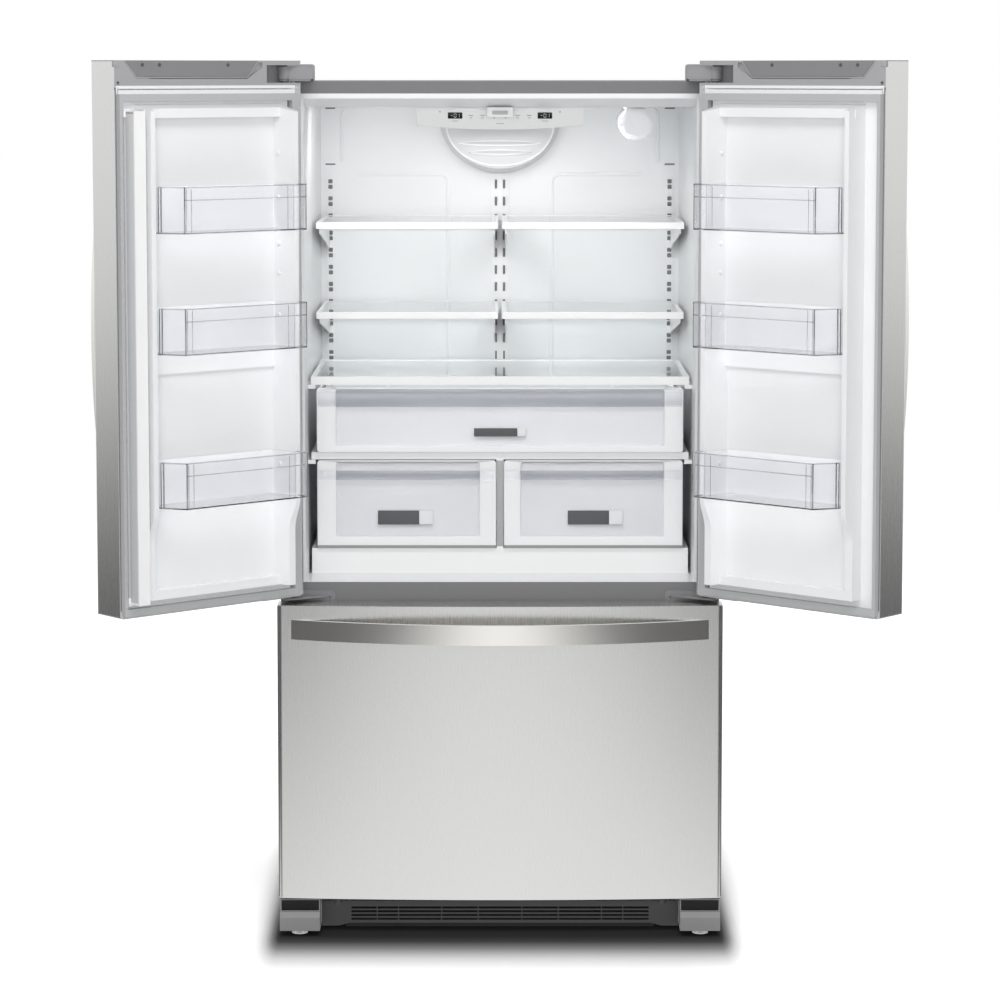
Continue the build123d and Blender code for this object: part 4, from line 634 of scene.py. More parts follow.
# %% [markdown]
# A piece is settled when its mesh is scaled to metres, given its finish and tied to the
# body it moves with. Door trim is drawn once in the door's own coordinates: u runs from the
# hinge edge across the inner face, w points from that face towards the food, and z is up.
# A matrix then carries it to the open left door, and its mirror image to the right door.

# %% Find a surface


def front_of(name, x, z):
    """How far back a ray from the front first meets a solid, all in millimetres."""
    solid = solids[name]
    inverse = solid.matrix_world.inverted()
    start = inverse @ Vector((x * MM, -3.0, z * MM))
    hit, place, *_ = solid.ray_cast(start, inverse.to_3x3() @ Vector((0, 1, 0)))
    return (solid.matrix_world @ place).y / MM if hit else None


bpy.context.view_layer.update()
print("drawer front at", round(front_of("freezer_door_skin", 0, 400)), "mm")

# %% Settle a piece


def settle(name, bm, finish, body="cabinet"):
    """Turn a mesh in millimetres into a finished piece that rides on a body."""
    bmesh.ops.scale(bm, vec=(MM, MM, MM), verts=bm.verts)
    bmesh.ops.recalc_face_normals(bm, faces=bm.faces)
    mesh = bpy.data.meshes.new(name)
    bm.to_mesh(mesh)
    bm.free()
    mesh.shade_smooth()
    mesh.set_sharp_from_angle(angle=SHARP_ANGLE)
    mesh.materials.append(finishes[finish])
    piece = bpy.data.objects.new(name, mesh)
    bpy.context.scene.collection.objects.link(piece)
    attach(piece, body)
    return piece


def blocks(name, finish, spans, body="cabinet", radius=0.5, steps=2):
    """A piece made of rounded blocks, each given by its low and its high corner."""
    bm = bmesh.new()
    for low, high in spans:
        rounded_block(bm, low, high, radius, steps)
    settle(name, bm, finish, body)


def mirror_x(bm):
    """Add the mirror image of everything in a mesh, about the middle plane."""
    copies = bmesh.ops.duplicate(bm, geom=bm.verts[:] + bm.edges[:] + bm.faces[:])["geom"]
    for v in copies:
        if isinstance(v, bmesh.types.BMVert):
            v.co.x = -v.co.x


OPEN_ANGLE = math.radians(-139)
HINGE_EDGE, HINGE_DEPTH = 20.0, 26.0  # hinge axis in door coordinates, in millimetres
hinge_x = cabinet_side / MM + 3 - HINGE_EDGE
hinge_y = cabinet_front / MM - 14 - HINGE_DEPTH
to_hinge = Matrix.Translation((-hinge_x, hinge_y, 0)) @ Matrix.Rotation(OPEN_ANGLE, 4, "Z")
door_frames = {"left": to_hinge @ Matrix.Translation((-HINGE_EDGE, HINGE_DEPTH, 0))}
door_frames["right"] = Matrix.Diagonal((-1, 1, 1, 1)) @ door_frames["left"]


def on_door(side, name, draw, finish, body):
    """A piece drawn in door coordinates and carried to one of the open doors."""
    bm = bmesh.new()
    draw(bm)
    bmesh.ops.transform(bm, matrix=door_frames[side], verts=bm.verts)
    settle(name, bm, finish, body)


def on_doors(name, draw, finish):
    """The same trim on both doors."""
    for side in door_frames:
        on_door(side, f"{side}_{name}", draw, finish, f"{side}_door")


def drawn(low, high, radius=0.5):
    """A drawing of one rounded block, for the doors."""
    return lambda bm: rounded_block(bm, low, high, radius)


FREE = 449.0  # the door's free edge, across its inner face
corner = door_frames["left"] @ Vector((FREE, 0, 0))
print("left door's free edge at", [round(v) for v in corner])

# %% [markdown]
# ## Inside the fresh food compartment
# The liner is one sheet of plastic drawn over a mould. The mould leaves low beads on the
# back wall that stiffen it. Each bead here is a half-round section swept along its path and
# sunk a little into the wall, so that light catches it on one side only. A grey bead where
# the wall meets the ceiling is painted shade for the crease there.

# %% Beads on the back wall
WALL = inner_back / MM
FRONT = cabinet_front / MM
PANEL_TOP, PANEL_FOOT = 1533, 1125  # the two raised panels between the beads
CEILING, LINER_HALF = 1688, 398  # the liner's top and half its width
OUTWARD = (0, -1, 0)  # the way a bead stands on a face that looks forward
bm = bmesh.new()
outline = [(318, PANEL_TOP), (150, PANEL_TOP)]
outline += arc((133, PANEL_TOP - 18), 18, 90, 180) + [(115, PANEL_FOOT)]
sweep(bm, [(x, WALL, z) for x, z in outline], half_round(9, 1.6), OUTWARD)
brow = [(192, 1681), (330, 1681)] + arc((330, 1659), 22, 90, 0)[1:] + [(352, 1560)]
sweep(bm, [(x, WALL, z) for x, z in brow], half_round(7, 1.8), OUTWARD)
mirror_x(bm)
settle("wall_beads", bm, "liner_white")
# A grey that is painted shade for the crease under the ceiling.
grained("crease_painted_shade", (128, 129, 130), 0.5, FINE, 0.03, 0.05, 0.1)
bm = bmesh.new()
across = [(x, WALL - 0.1, CEILING - 4) for x in (-LINER_HALF + 2, LINER_HALF - 2)]
sweep(bm, across, half_round(2.6, 0.9), OUTWARD)
settle("ceiling_shade_line", bm, "crease_painted_shade")
print("back wall beads from", PANEL_FOOT, "to", PANEL_TOP, "mm")

# %% [markdown]
# The shelf ladders are pressed with slots, and a slot is a hole into the shaded foam space
# behind. A grey plate on the floor of each slot is painted shade for that depth, so the liner
# isn't cut; two short plates of the same grey sit on each ladder near its top.

# %% Slots of the shelf ladders
shield_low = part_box("light_shield")[0].z / MM
LADDER_X, SLOT_PITCH = 377, 38.1
# Painted shade for the inside of the slots.
grained("slot_shadow", (122, 123, 124), 0.7, FINE, 0.04, 0.05, 0.1)
levels = [shield_low - 26 - SLOT_PITCH * i for i in range(11)]
bm = bmesh.new()
for level in levels:
    slots = [(x, level + z, 5, 4.4) for x in (-LADDER_X, LADDER_X) for z in (-6.2, 6.2)]
    slots += [(x, level, 2.2, 9.5) for x in (-9, 9)]
    for x, z, half_x, half_z in slots:
        low = (x - half_x, WALL - 4.3, z - half_z)
        rounded_block(bm, low, (x + half_x, WALL - 1.1, z + half_z), 1.0)
for x in (-LADDER_X, LADDER_X):
    for level in (shield_low + 18, 1679):
        low = (x - 11, WALL - 2.2, level - 1.6)
        rounded_block(bm, low, (x + 11, WALL + 0.2, level + 1.6), 0.7)
settle("slot_painted_shade", bm, "slot_shadow")
print(len(levels), "rows of slots")

# %% [markdown]
# The control housing hangs from the ceiling. Its face carries two small displays, a row of
# touch keys, and at the top a guide for the flap between the doors. The bright lip along its
# lower edge is swept on the same curve as the housing. Each display shows the same plain
# reading: a dash, a nought and a one.

# %% Control housing
house_low, house_high = (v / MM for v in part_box("control_housing"))
HOUSE_FACE = FRONT + 84
LIP_DROP = 8  # how far the lip hangs lower in the middle than at its ends
grained("display_glass", (22, 22, 25), 0.12, SOFT, 0.05, 0.02, 0.02)
grained("display_segments", (226, 230, 234), 0.4, FINE, 0.02, 0.02, 0.02)
grained("key_mark", (186, 188, 190), 0.45, FINE, 0.03, 0.04, 0.05)
print("housing face at", round(HOUSE_FACE), "mm, foot at", round(house_low.z), "mm")
DISPLAYS = (-92, 92)
spans = [((x - 15, HOUSE_FACE - 1.2, 1664), (x + 15, HOUSE_FACE + 2, 1677)) for x in DISPLAYS]
blocks("displays", "display_glass", spans, radius=1.6, steps=3)

# %% Display segments and keys
HALF_W, HALF_H, STROKE = 2.2, 3.7, 0.45  # half sizes of a digit and of its bars
BARS = {
    "a": (0, 1, True), "g": (0, 0, True), "d": (0, -1, True), "b": (1, 0.5, False),
    "c": (1, -0.5, False), "f": (-1, 0.5, False), "e": (-1, -0.5, False),
}


def seven(x, z, lit):
    """The corners of the lit bars of one seven-segment digit."""
    for key in lit:
        a, b, flat = BARS[key]
        a, b = x + a * HALF_W, z + b * HALF_H
        wide, tall = (HALF_W - 0.6, STROKE) if flat else (STROKE, HALF_H / 2 - 0.6)
        yield (a - wide, HOUSE_FACE - 1.5, b - tall), (a + wide, HOUSE_FACE - 0.8, b + tall)


digits = [(x + a, lit) for x in DISPLAYS for a, lit in ((-7, "g"), (0, "abcdef"), (6.6, "bc"))]
spans = [span for x, lit in digits for span in seven(x, 1670.5, lit)]
blocks("display_segments", "display_segments", spans, radius=0.2, steps=1)

marks = []
for x in (-60, -36, -12, 12, 36, 60):
    marks += [(x, 4.6, 1669.4, 1671.6), (x, 2.6, 1664.6, 1666.4)]
marks += [(x, 6, 1658.6, 1660) for x in DISPLAYS]
bm = bmesh.new()
for x, half, foot, head in marks:
    rounded_block(bm, (x - half, HOUSE_FACE - 0.5, foot), (x + half, HOUSE_FACE + 1, head), 0.5)
for x in (-123, 123):
    turned(bm, [(0, 0.7), (1.6, 0.6), (2.2, -0.8)], (x, HOUSE_FACE, 1678), "-Y", 16)
rounded_block(bm, (-8, HOUSE_FACE - 0.5, 1653.5), (8, HOUSE_FACE + 1, 1655), 0.5)
settle("touch_keys", bm, "key_mark")
print("keys and segments drawn")

# %% Lip and brows of the housing
bm = bmesh.new()
span = house_high.x - 1.5
curve = []
for i in range(25):
    x = -span + 2 * span * i / 24
    curve.append((x, HOUSE_FACE + 0.6, house_low.z + 2.6 + LIP_DROP * (x / span) ** 2))
sweep(bm, curve, [(-2.4, -0.5), (-2.2, 0.9), (0, 1.5), (2.2, 0.9), (2.4, -0.5)], OUTWARD)
for x in (-70, 70):
    turns = [math.pi * i / 14 for i in range(15)]
    lid = [(x + 37 * math.cos(t), HOUSE_FACE, 1680 + 5.5 * math.sin(t)) for t in turns]
    sweep(bm, lid, half_round(2.2, 1.1), OUTWARD)
settle("housing_lip", bm, "trim_white")
span = ((-16, house_low.y - 1, 1673), (16, house_low.y + 2, 1681))
blocks("guide_window", "key_mark", [span], radius=1.2)
print("lip hangs", LIP_DROP, "mm")

# %% [markdown]
# Below the ceiling a moulded shield spreads the light of the lamp over the back wall. It has
# a raised contour and two lens-shaped louvres. A louvre is a slab cut to a lens outline, with
# a smaller and darker one inside it: painted shade for the opening.

# %% Light shield
SHIELD_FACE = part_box("light_shield")[0].y / MM
grained("louvre_shade", (196, 197, 199), 0.5, FINE, 0.02, 0.04, 0.05)


def lens(middle, half_width, half_height, steps=28):
    """The outline of a pointed lens."""
    points = []
    for i in range(steps):
        t = 2 * math.pi * i / steps
        rise = math.copysign(abs(math.sin(t)) ** 1.4, math.sin(t))
        points.append((half_width * math.cos(t), middle + half_height * rise))
    return points


rims, mouths = bmesh.new(), bmesh.new()
for level, width in ((1602, 92), (1582, 70)):
    slab(rims, lens(level, width, 6.5), SHIELD_FACE - 2.2, SHIELD_FACE + 1, "XZ", 1.2)
    slab(mouths, lens(level + 0.8, width - 7, 3.6), SHIELD_FACE - 2.6, SHIELD_FACE, "XZ", 0.4)
turns = [math.pi + math.pi * i / 40 for i in range(41)]
contour = [(118 * math.cos(t), SHIELD_FACE, 1640 + 88 * math.sin(t)) for t in turns]
sweep(rims, contour, half_round(4, 1.4), OUTWARD)
settle("shield_louvres", rims, "trim_white")
settle("louvre_mouth_shade", mouths, "louvre_shade")
print("shield face at", round(SHIELD_FACE), "mm")

# %% [markdown]
# ## Drawers of the fresh food compartment
# Each drawer front is a white frame around a clear window. The frame is a ring-shaped plate:
# two outlines with the same number of points, joined face by face and rounded at the rims.
# It takes the place of the plain front of the CAD model and rides on the drawer.

# %% Frames
def framed(bm, outer, inner, near, far, edge=1.5, steps=3):
    """A ring-shaped plate between two outlines, seen from -Y, with rounded rims."""
    rings = []
    for depth in (near, far):
        for outline in (outer, inner):
            rings.append([bm.verts.new((a, depth, b)) for a, b in outline])
    front_out, front_in, back_out, back_in = rings
    rims = []
    pairs = [(front_out, front_in), (back_in, back_out)]
    pairs += [(back_out, front_out), (front_in, back_in)]
    for i in range(len(outer)):
        for a, b in pairs:
            bm.faces.new((a[i - 1], a[i], b[i], b[i - 1]))
        rims += [bm.edges.get((ring[i - 1], ring[i])) for ring in (front_out, front_in)]
    round_edges(bm, rims, edge, steps)


grained("frame_white", (238, 239, 240), 0.34, FINE, 0.01, 0.04, 0.06)
clear("window_styrene", (246, 246, 247), 0.08, 1.2, SOFT)
clear("grip_styrene", (222, 223, 225), 0.16, 1.25, SOFT)
grained("label_grey", (88, 89, 91), 0.4, FINE, 0.03, 0.04, 0.05)
grained("label_white", (228, 229, 230), 0.4, FINE, 0.02, 0.04, 0.05)


def framed_front(name, body, low, high, face, insets):
    """The frame of a drawer front and the window in it."""
    left, right, foot = insets
    bm = bmesh.new()
    outer = rounded_outline((low.x, low.z), (high.x, high.z), 7)
    inner = rounded_outline((low.x + left, low.z + foot), (high.x - right, high.z - 3), 5)
    framed(bm, outer, inner, face, high.y, 2.2)
    piece = settle(f"{name}_frame", bm, "frame_white", body)
    bm = bmesh.new()
    left, right, foot = left - 1, right - 1, foot - 1
    pane = rounded_outline((low.x + left, low.z + foot), (high.x - right, high.z - 4), 5)
    slab(bm, pane, face + 2, high.y - 1.5, "XZ", 0.5)
    settle(f"{name}_window", bm, "window_styrene", body)
    return piece


def label(name, body, face, edges, foot, head):
    """A bare name plate in two fields, the second one pale."""
    for part, finish, a, b in (
        ("plate", "label_grey", edges[0], edges[1]),
        ("plate_end", "label_white", edges[1], edges[2]),
    ):
        span = ((a, face + 0.6, foot), (b, face + 2.4, head))
        blocks(f"{name}_{part}", finish, [span], body)


print("tools: framed, framed_front, label")

# %% [markdown]
# The wide drawer has a grip that runs over the top of its front. It is a clear lip that
# leans forward and curls under. The small plate in the middle of the front is left bare.

# %% Wide drawer front
deli_low, deli_high = (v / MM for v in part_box("deli_front"))
NEAR = deli_low.y
deli_frame = framed_front("deli", "deli_drawer", deli_low, deli_high, NEAR, (40, 40, 14))
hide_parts("deli_front")

profile = [(0, 0), (-3, -1), (-5, -6), (-5.4, -34), (-3.6, -38), (-2.6, -37)]
profile += [(-3.6, -33), (-3.2, -7), (-1, -3)]
curl = [(NEAR + 3 + a, deli_high.z - 1 + b) for a, b in profile]
bm = bmesh.new()
slab(bm, curl, deli_low.x + 3, deli_high.x - 3, "YZ")
settle("deli_grip", bm, "grip_styrene", "deli_drawer")
label("deli", "deli_drawer", NEAR, (-54, 36, 54), 1007, 1024)
print("wide drawer front", round(deli_high.x - deli_low.x), "mm wide")

# %% [markdown]
# The tray of the wide drawer is frosted, and two sloped ribs inside it keep packs upright.
# The ribs are thin leaning walls, so they show as pale bands through the window.

# %% Inside the wide drawer
grained("frosted_rib", (232, 233, 234), 0.5, FINE, 0.01, 0.04, 0.05)
tray_low, tray_high = (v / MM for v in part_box("deli_drawer"))
bm = bmesh.new()
back = tray_high.y - 5
foot, head = tray_low.z + 6, tray_high.z - 6
for side in (-1, 1):
    rib = [(side * 272, foot), (side * 244, head), (side * 238, head), (side * 266, foot)]
    slab(bm, rib, back - 40, back, "XZ")
settle("deli_ribs", bm, "frosted_rib", "deli_drawer")
low = (tray_low.x + 8, NEAR + 12, tray_low.z + 3.2)
spans = [(low, (tray_high.x - 8, tray_high.y - 8, tray_low.z + 5.4))]
for side in (-1, 1):
    wall = sorted(side * (tray_high.x - inset) for inset in (7, 10))
    low = (wall[0], NEAR + 12, tray_low.z + 5)
    spans.append((low, (wall[1], tray_high.y - 8, tray_high.z - 8)))
blocks("deli_tray_lining", "frosted_rib", spans, "deli_drawer", 1)
print("tray lined", round(tray_high.z - tray_low.z), "mm high")

# %% [markdown]
# The crispers have the same kind of front, with a clear grip band across it. A lip runs along
# the foot of each front, its grey painted shade, and the post between them has a grey face.

# %% Crisper fronts
grained("post_grey", (172, 172, 173), 0.5, FINE, 0.04, 0.06, 0.1)
# A grey that is painted shade along the foot of each crisper front.
grained("lip_painted_shade", (150, 150, 151), 0.5, FINE, 0.04, 0.06, 0.1)
FACE_BACK = 7  # how far the face lies before the back of the front
PLATE_SPLIT, PLATE_END = 86, 114  # the bare name plate's two fields, from its start
for side, insets, plate in (("left", (40, 35, 24), -254), ("right", (35, 40, 24), 141)):
    low, high = (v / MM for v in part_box(f"{side}_crisper_front"))
    face = high.y - FACE_BACK
    body = f"{side}_crisper"
    frame_piece = framed_front(body, body, low, high, face, insets)
    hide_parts(f"{side}_crisper_front")
    span = ((low.x + 1, face - 0.6, low.z + 0.2), (high.x - 1, face + 2, low.z + 6.5))
    blocks(f"{body}_lip", "lip_painted_shade", [span], body)
    span = ((low.x + 2, low.y + 1, low.z + 144), (high.x - 2, face + 2.5, low.z + 163))
    blocks(f"{body}_grip", "grip_styrene", [span], body, 3, 4)
    label(body, body, face, (plate, plate + PLATE_SPLIT, plate + PLATE_END), 822, 851)
y = front_of("drawer_covers", 0, 860)
span = ((-6.5, y - 0.4, 775), (6.5, y + 1.2, 955))
blocks("drawer_post_face", "post_grey", [span])
print("crisper fronts framed")

# %% [markdown]
# ## Door trim
# The top cap of each door has a shallow tray on its inner face, four screws and, at the free
# corner, a small tab over the edge of the steel skin.

# %% Caps
DOOR_TOP = cabinet_top / MM + 41
DOOR_FOOT = 700.0
TRAY_FOOT = DOOR_TOP - 31
INWARD = (0, 1, 0)  # the way a bead stands on a door's inner face
grained("cap_recess", (132, 132, 134), 0.55, FINE, 0.03, 0.05, 0.15)
# A dark grey for the screw heads of the caps and the grille, and painted shade in the cross
# recesses of the hinge screws.
grained("dark_screw_and_recess_shade", (84, 84, 86), 0.5, FINE, 0.05, 0.05, 0.1)


def cap_tray(bm):
    """The darker tray in the inner face of the top cap."""
    head = DOOR_TOP - 1
    slab(bm, [(108, head), (422, head), (396, TRAY_FOOT), (133, TRAY_FOOT)], 1.1, -1)


def cap_ribs(bm):
    """Low ribs that frame the tray, and the tab at the free corner."""
    path = [(106, DOOR_TOP - 2), (131, TRAY_FOOT - 2), (398, TRAY_FOOT - 2), (424, DOOR_TOP - 2)]
    sweep(bm, [(u, 0.6, z) for u, z in path], half_round(2.4, 0.9), INWARD)
    rounded_block(bm, (438, -6, DOOR_TOP - 13), (FREE + 0.8, 1.2, DOOR_TOP - 1), 1.0)


def cap_screws(bm):
    """Screw heads in the tray and at the tab."""
    for u, z, radius in ((384, -9, 3.4), (344, -9, 3.4), (180, -9, 3.4), (441, -43, 2.6)):
        profile = [(0, 0.5), (radius * 0.4, 0.9), (radius, 1.3), (radius, 0)]
        turned(bm, profile, (u, 1.0, DOOR_TOP + z), "Y", 18)


on_doors("cap_tray", cap_tray, "cap_recess")
on_doors("cap_ribs", cap_ribs, "cap_grey")
on_doors("cap_screws", cap_screws, "dark_screw_and_recess_shade")
print("caps trimmed at", round(TRAY_FOOT), "to", round(DOOR_TOP), "mm")

# %% [markdown]
# The gasket is an extrusion with two soft ribs, which are swept beads here, and a flat band
# frames it. A groove parts it from the liner, and a dark bead along it is painted shade for
# the groove. Paths that turn a corner get an arc there, so the beads stay even.

# %% Gasket ribs and frame
grained("frame_grey", (192, 193, 195), 0.45, FINE, 0.02, 0.05, 0.1)
# A dark grey that is painted shade for the groove beside the gasket.
grained("groove_painted_shade", (110, 111, 113), 0.6, FINE, 0.04, 0.05, 0.1)
GASKET_LOW, GASKET_HIGH = DOOR_FOOT + 4, DOOR_TOP - 65
GASKET_RISE = 12.58  # how far the beads' feet lie before the inner face


def loop(near, far, low, high, radius=4):
    """A closed path with rounded corners on the inner face."""
    return rounded_outline((near, low), (far, high), radius, 4)


def frame_band(bm):
    """The raised outer band of the gasket frame."""
    path = [(u, 0.2, z) for u, z in loop(8.5, 443.5, DOOR_FOOT + 3, DOOR_TOP - 56, 3)]
    band = [(-5.4, -0.4), (-5.0, 0.9), (-1.2, 1.3), (1.2, 1.3), (5.0, 0.9), (5.4, -0.4)]
    sweep(bm, path, band, INWARD, closed=True)


def gasket_beads(bm):
    """Two soft ribs round the gasket."""
    for inset in (2.2, 5.6):
        ring = loop(17 + inset, 446 - inset, GASKET_LOW + inset, GASKET_HIGH - inset)
        path = [(u, GASKET_RISE, z) for u, z in ring]
        sweep(bm, path, half_round(1.8, 1.0), INWARD, closed=True)


def gasket_groove(bm):
    """A dark line, painted shade for the groove between the gasket and the liner's plug on the
    hinge side.
    """
    path = [(33.4, 2.0, z) for z in (GASKET_LOW + 14, GASKET_HIGH - 14)]
    sweep(bm, path, [(-1.2, -0.4), (-1.2, 0.7), (1.2, 0.7), (1.2, -0.4)], INWARD)


on_doors("frame_band", frame_band, "frame_grey")
on_doors("gasket_beads", gasket_beads, "gasket_grey")
on_doors("gasket_groove", gasket_groove, "groove_painted_shade")
print("gasket from", round(GASKET_LOW), "to", round(GASKET_HIGH), "mm")

# %% [markdown]
# The edge of the steel skin has a plastic edge strip beside it. It is the dark line that
# frames each door on its free side, and it also closes the fold of the sheet. A lighter
# bead runs beside the strip.

# %% Edge strips
grained("edge_strip", (122, 122, 124), 0.45, FINE, 0.03, 0.05, 0.1)
foot, head = DOOR_FOOT + 14, DOOR_TOP - 52
strip = drawn((FREE - 3.4, -0.4, foot), (FREE - 0.6, 1.6, head), 0.6)
bead = drawn((FREE - 8.4, -0.2, foot), (FREE - 4.6, 1.9, head), 0.8)
on_doors("edge_strip", strip, "edge_strip")
on_doors("edge_bead", bead, "frame_grey")
print("edge strips", round(head - foot), "mm long")

# %% [markdown]
# Small bosses on the dikes carry the bins. There are spare ones between the bins, so that a
# bin can be hung higher or lower. Each is turned, with a domed face.

# %% Bin bosses
BIN_LEVELS = (916.0, 1215.1, 1449.0)
BIN_HEIGHT = 90.0
BIN_FACE = 103.0  # how far the bins' outer face stands before the door's inner face
BOSS_LIFTS = ((1, 62), (2, 62), (0, 62), (1, 146), (1, 204), (2, 150))


def bosses(bm):
    """Bosses on the inner slope of the dike, each some way above the foot of a bin."""
    for i, lift in BOSS_LIFTS:
        place = (79.5, 30, BIN_LEVELS[i] + lift)
        turned(bm, [(0, 3.4), (3.6, 3.0), (4.8, 1.6), (5.2, -6)], place, "X", 20)


on_doors("bin_bosses", bosses, "liner_white")
print("bin levels", BIN_LEVELS)

# %% [markdown]
# A clear moulding is hard to see except at its edges, where light runs along the wall. The
# bins get a rolled rim, a ledge inside it, a fold line near each front corner and a foot
# bead, all in a darker tint of the same plastic: painted shade for how such edges read.

# %% Bin rims
BIN_NEAR, LOW_BIN_NEAR = 62, 69.5  # the hinge ends; the lowest bin is shorter
BIN_FAR, BIN_BACK = 360, 389  # the slanting free end, at the front and at the back
# Darker tints of the clear plastic: painted shade for the edges of the bins.
clear("dark_edge_shade_styrene", (176, 178, 182), 0.12, 1.3, SOFT)
clear("edge_shade_styrene", (214, 216, 219), 0.1, 1.3, SOFT)


def bin_plan(low, inset=0.0):
    """The bin's outline on plan, from the near back corner round the front to the far one."""
    near = (LOW_BIN_NEAR if low == BIN_LEVELS[0] else BIN_NEAR) + inset
    front = BIN_FACE - inset
    bend = [(near, 74), (near, BIN_FACE - 5), (near + 4, front)]
    return bend + [(BIN_FAR - inset, front), (BIN_BACK - inset, 56)]


def bin_rims(bm):
    """A rolled rim along the top of each bin's outer walls."""
    for low in BIN_LEVELS:
        top = low + BIN_HEIGHT
        path = [(u, w, top - 0.6) for u, w in bin_plan(low, 1.0)]
        sweep(bm, path, [(-1.5, -1.2), (-1.5, 0.6), (0, 1.2), (1.5, 0.6), (1.5, -1.2)], (0, 0, 1))


def bin_feet(bm):
    """A bead along the foot of each bin, and the end of its far wall, both in painted edge shade.
    """
    for low in BIN_LEVELS:
        path = [(u, w, low + 1.4) for u, w in bin_plan(low, 0.8)]
        sweep(bm, path, [(-1.2, -1.2), (-1.2, 1.2), (1.2, 1.2), (1.2, -1.2)], (0, 0, 1))
        (u0, w0), (u1, w1) = bin_plan(low, 1.2)[-2:]
        for share in (0.0, 0.9):
            u, w = u0 + (u1 - u0) * share, w0 + (w1 - w0) * share
            top = (u + 1.1, w + 1.1, low + BIN_HEIGHT)
            rounded_block(bm, (u - 1.1, w - 1.1, low + 2), top, 0.5)


def bin_folds(bm):
    """The ledge line and the fold bands inside the front walls."""
    for low in BIN_LEVELS:
        near = bin_plan(low)[0][0]
        foot, head = low + 3, low + BIN_HEIGHT - 3
        rounded_block(bm, (near + 4, 100.2, low + 64), (BIN_FAR - 2, 101.6, low + 66), 0.5)
        for u in (BIN_FAR - 6, BIN_FAR - 18):
            rounded_block(bm, (u, 100.4, foot), (u + 1.6, 101.8, head), 0.5)
        rounded_block(bm, (110, 100.4, foot), (111.4, 101.6, head), 0.5)


on_doors("bin_rims", bin_rims, "edge_shade_styrene")
on_doors("bin_feet", bin_feet, "dark_edge_shade_styrene")
on_doors("bin_folds", bin_folds, "edge_shade_styrene")
print("bins trimmed")

# %% [markdown]
# The flap bridges the gap between the closed doors. Its body is white, and the face that
# meets the gaskets is a painted steel plate, because a gasket's magnet has to grip it.

# %% Flap plate
FLAP_U = 435.0  # where the flap's steel plate lies across the door
foot, head = (v.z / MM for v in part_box("mullion_flap"))
plate = drawn((FLAP_U - 1, 16, foot + 4), (FLAP_U + 0.08, 43, head - 4))
plate_end = drawn((FLAP_U - 1.5, 16, head - 5), (FLAP_U + 0.1, 43, head - 2))
on_door("left", "flap_plate", plate, "flap_grey", "mullion_flap")
on_door("left", "flap_plate_end", plate_end, "edge_strip", "mullion_flap")
print("flap plate", round(head - foot - 8), "mm long")

# %% [markdown]
# ## Rail, hinges and drawer front
# Each centre hinge is a steel strap on the rail with one visible screw. A screw head is
# turned and given a cross recess, which is two crossed dark blocks let into it: painted shade
# for the recess.

# %% Hinge screws
STRAP_Z = DOOR_FOOT - 11.0
bm = bmesh.new()
recess = bmesh.new()
for x in (-349, 349):
    place = (x, FRONT - 3, STRAP_Z)
    turned(bm, [(0, 2.2), (2.2, 2.1), (4.4, 1.2), (4.9, 0.2), (4.9, -0.6)], place, "-Y", 24)
    for half_x, half_z in ((2.4, 0.6), (0.6, 2.4)):
        low = (x - half_x, FRONT - 5.4, STRAP_Z - half_z)
        rounded_block(recess, low, (x + half_x, FRONT - 4.2, STRAP_Z + half_z), 0.2, 1)
settle("hinge_screws", bm, "hinge_grey")
settle("hinge_screw_recess_shade", recess, "dark_screw_and_recess_shade")
bm = bmesh.new()
for x in (-424, -416, 416, 424):
    turned(bm, [(0, 2.6), (3.2, 2.4), (3.8, 1.2), (3.8, -0.5)], (x, FRONT - 28, 1738), "-Y", 18)
settle("hinge_bushings", bm, "trim_white")
print("hinge screws at", STRAP_Z, "mm")

# %% [markdown]
# The drawer front is one bowed sheet. At its sides the sheet is folded back over a plastic
# strip. Light on the fold shows a dark line, a bright line and another dark line down each
# edge; the two dark lines are painted shade on the steel.

# %% Painted shade lines at the edges of the drawer front
skin_low, skin_high = (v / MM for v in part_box("freezer_door_skin"))
grained("fold_painted_shade", (66, 66, 68), 0.5, FINE, 0.04, 0.05, 0.1)
strips, lines = [], []
foot, head = skin_low.z + 3, skin_high.z - 3
for side in (-1, 1):
    x = side * (skin_high.x - 1.0)
    strips.append(((x - 1.2, skin_low.y + 26, foot), (x + 1.2, skin_low.y + 31, head)))
    for inset, half in ((1.3, 1.1), (6.5, 0.7)):
        x = side * (skin_high.x - inset)
        y = front_of("freezer_door_skin", x, skin_low.z + 200)
        lines.append(((x - half, y - 0.3, foot - 1), (x + half, y + 1.2, head + 1)))
blocks("drawer_edge_strips", "edge_strip", strips, "freezer_drawer")
blocks("drawer_fold_shade_lines", "fold_painted_shade", lines, "freezer_drawer", 0.25)
print(len(strips) + len(lines), "lines down the edges")
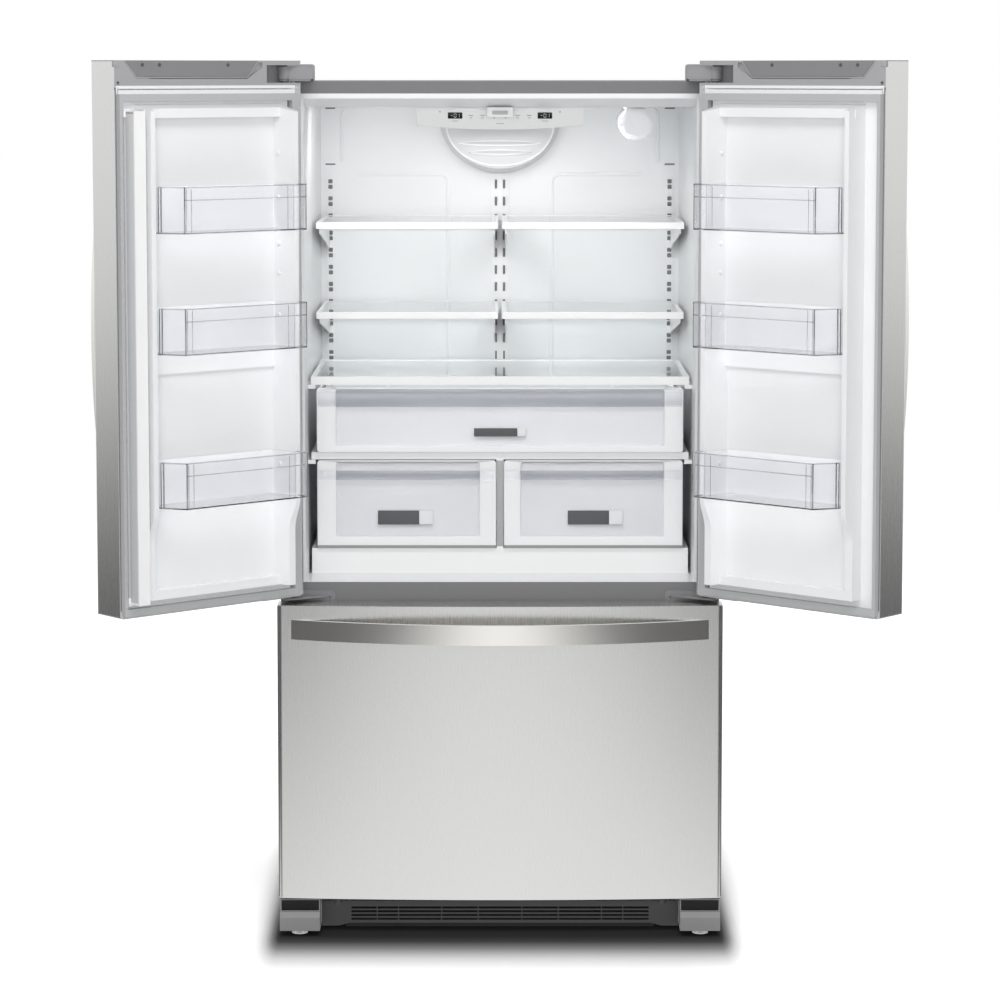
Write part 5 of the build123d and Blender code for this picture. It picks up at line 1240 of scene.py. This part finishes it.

# %% [markdown]
# ## Base
# Behind the slots of the toe grille it is dark, because they open into the shaded space under
# the cabinet. A curved backing keeps daylight from the rear out of the slots, and its near-black
# colour is painted shade for that space. Each levelling leg gets a rubber pad. The upper part of
# each foot cover is set back under the drawer, and a black plate there is painted shade.

# %% Grille backing
GRILLE_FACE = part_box("base_grille")[0].y / MM
GRILLE_HEAD = 58
HOOD_STEP = 50.5
# Near-black painted shade, for the backing behind the grille slots and the plates under the
# drawer.
grained("painted_shade_black", (16, 16, 17), 0.8, FINE, 0.05, 0.05, 0.1)
bm = bmesh.new()
curve = [(9, GRILLE_HEAD), (10.2, GRILLE_HEAD), (11.4, 20), (18, 4), (16.6, 3), (10.2, 19)]
slab(bm, [(GRILLE_FACE + y, z) for y, z in curve], -318, 318, "YZ")
settle("painted_shade_black", bm, "painted_shade_black")
bm = bmesh.new()
for x in (-334, 334):
    profile = [(0, 3.4), (3, 3.2), (6.2, 1.6), (6.6, 0)]
    turned(bm, profile, (x, GRILLE_FACE + 1, GRILLE_HEAD), "-Y", 24)
settle("grille_screws", bm, "dark_screw_and_recess_shade")
hood_low, hood_high = (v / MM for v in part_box("foot_covers"))
# Plates of painted shade in the set-back upper part of each foot cover.
spans = []
for side in (-1, 1):
    near, far = sorted(side * (hood_high.x - inset) for inset in (79.5, 2.5))
    low = (near, hood_low.y + 17.6, HOOD_STEP)
    spans.append((low, (far, hood_low.y + 19, hood_high.z - 1.5)))
blocks("hood_painted_shade", "painted_shade_black", spans, radius=0.4)
print("grille face at", round(GRILLE_FACE), "mm")

# %% Levelling feet
leg_low, leg_high = (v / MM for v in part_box("leveling_legs"))
leg_x, leg_y = leg_high.x - 16, (leg_low.y + leg_high.y) / 2
bm = bmesh.new()
profile = [(0, 8.2), (9, 8.2), (15, 7.6), (16, 6.2), (16, 2.4), (15, 0.6), (14, 0), (0, 0)]
for side in (-1, 1):
    turned(bm, profile, (side * leg_x, leg_y, 0), "Z", 36)
settle("leg_pads", bm, "roller_nylon")
print("legs at", round(leg_x), round(leg_y), "mm")

# %% [markdown]
# ## Close the notebook
# The last cell measures how far the trim stands outside the space of the solids and prints
# it, and it sets the view transform.

# %% Measure the trim against the solids
seen_low, seen_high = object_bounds()
bpy.context.scene.view_settings.view_transform = "Standard"
grown = max(max(cad_low - seen_low), max(seen_high - cad_high)) / MM
print("the trim stands", round(grown, 2), "mm outside the solids")
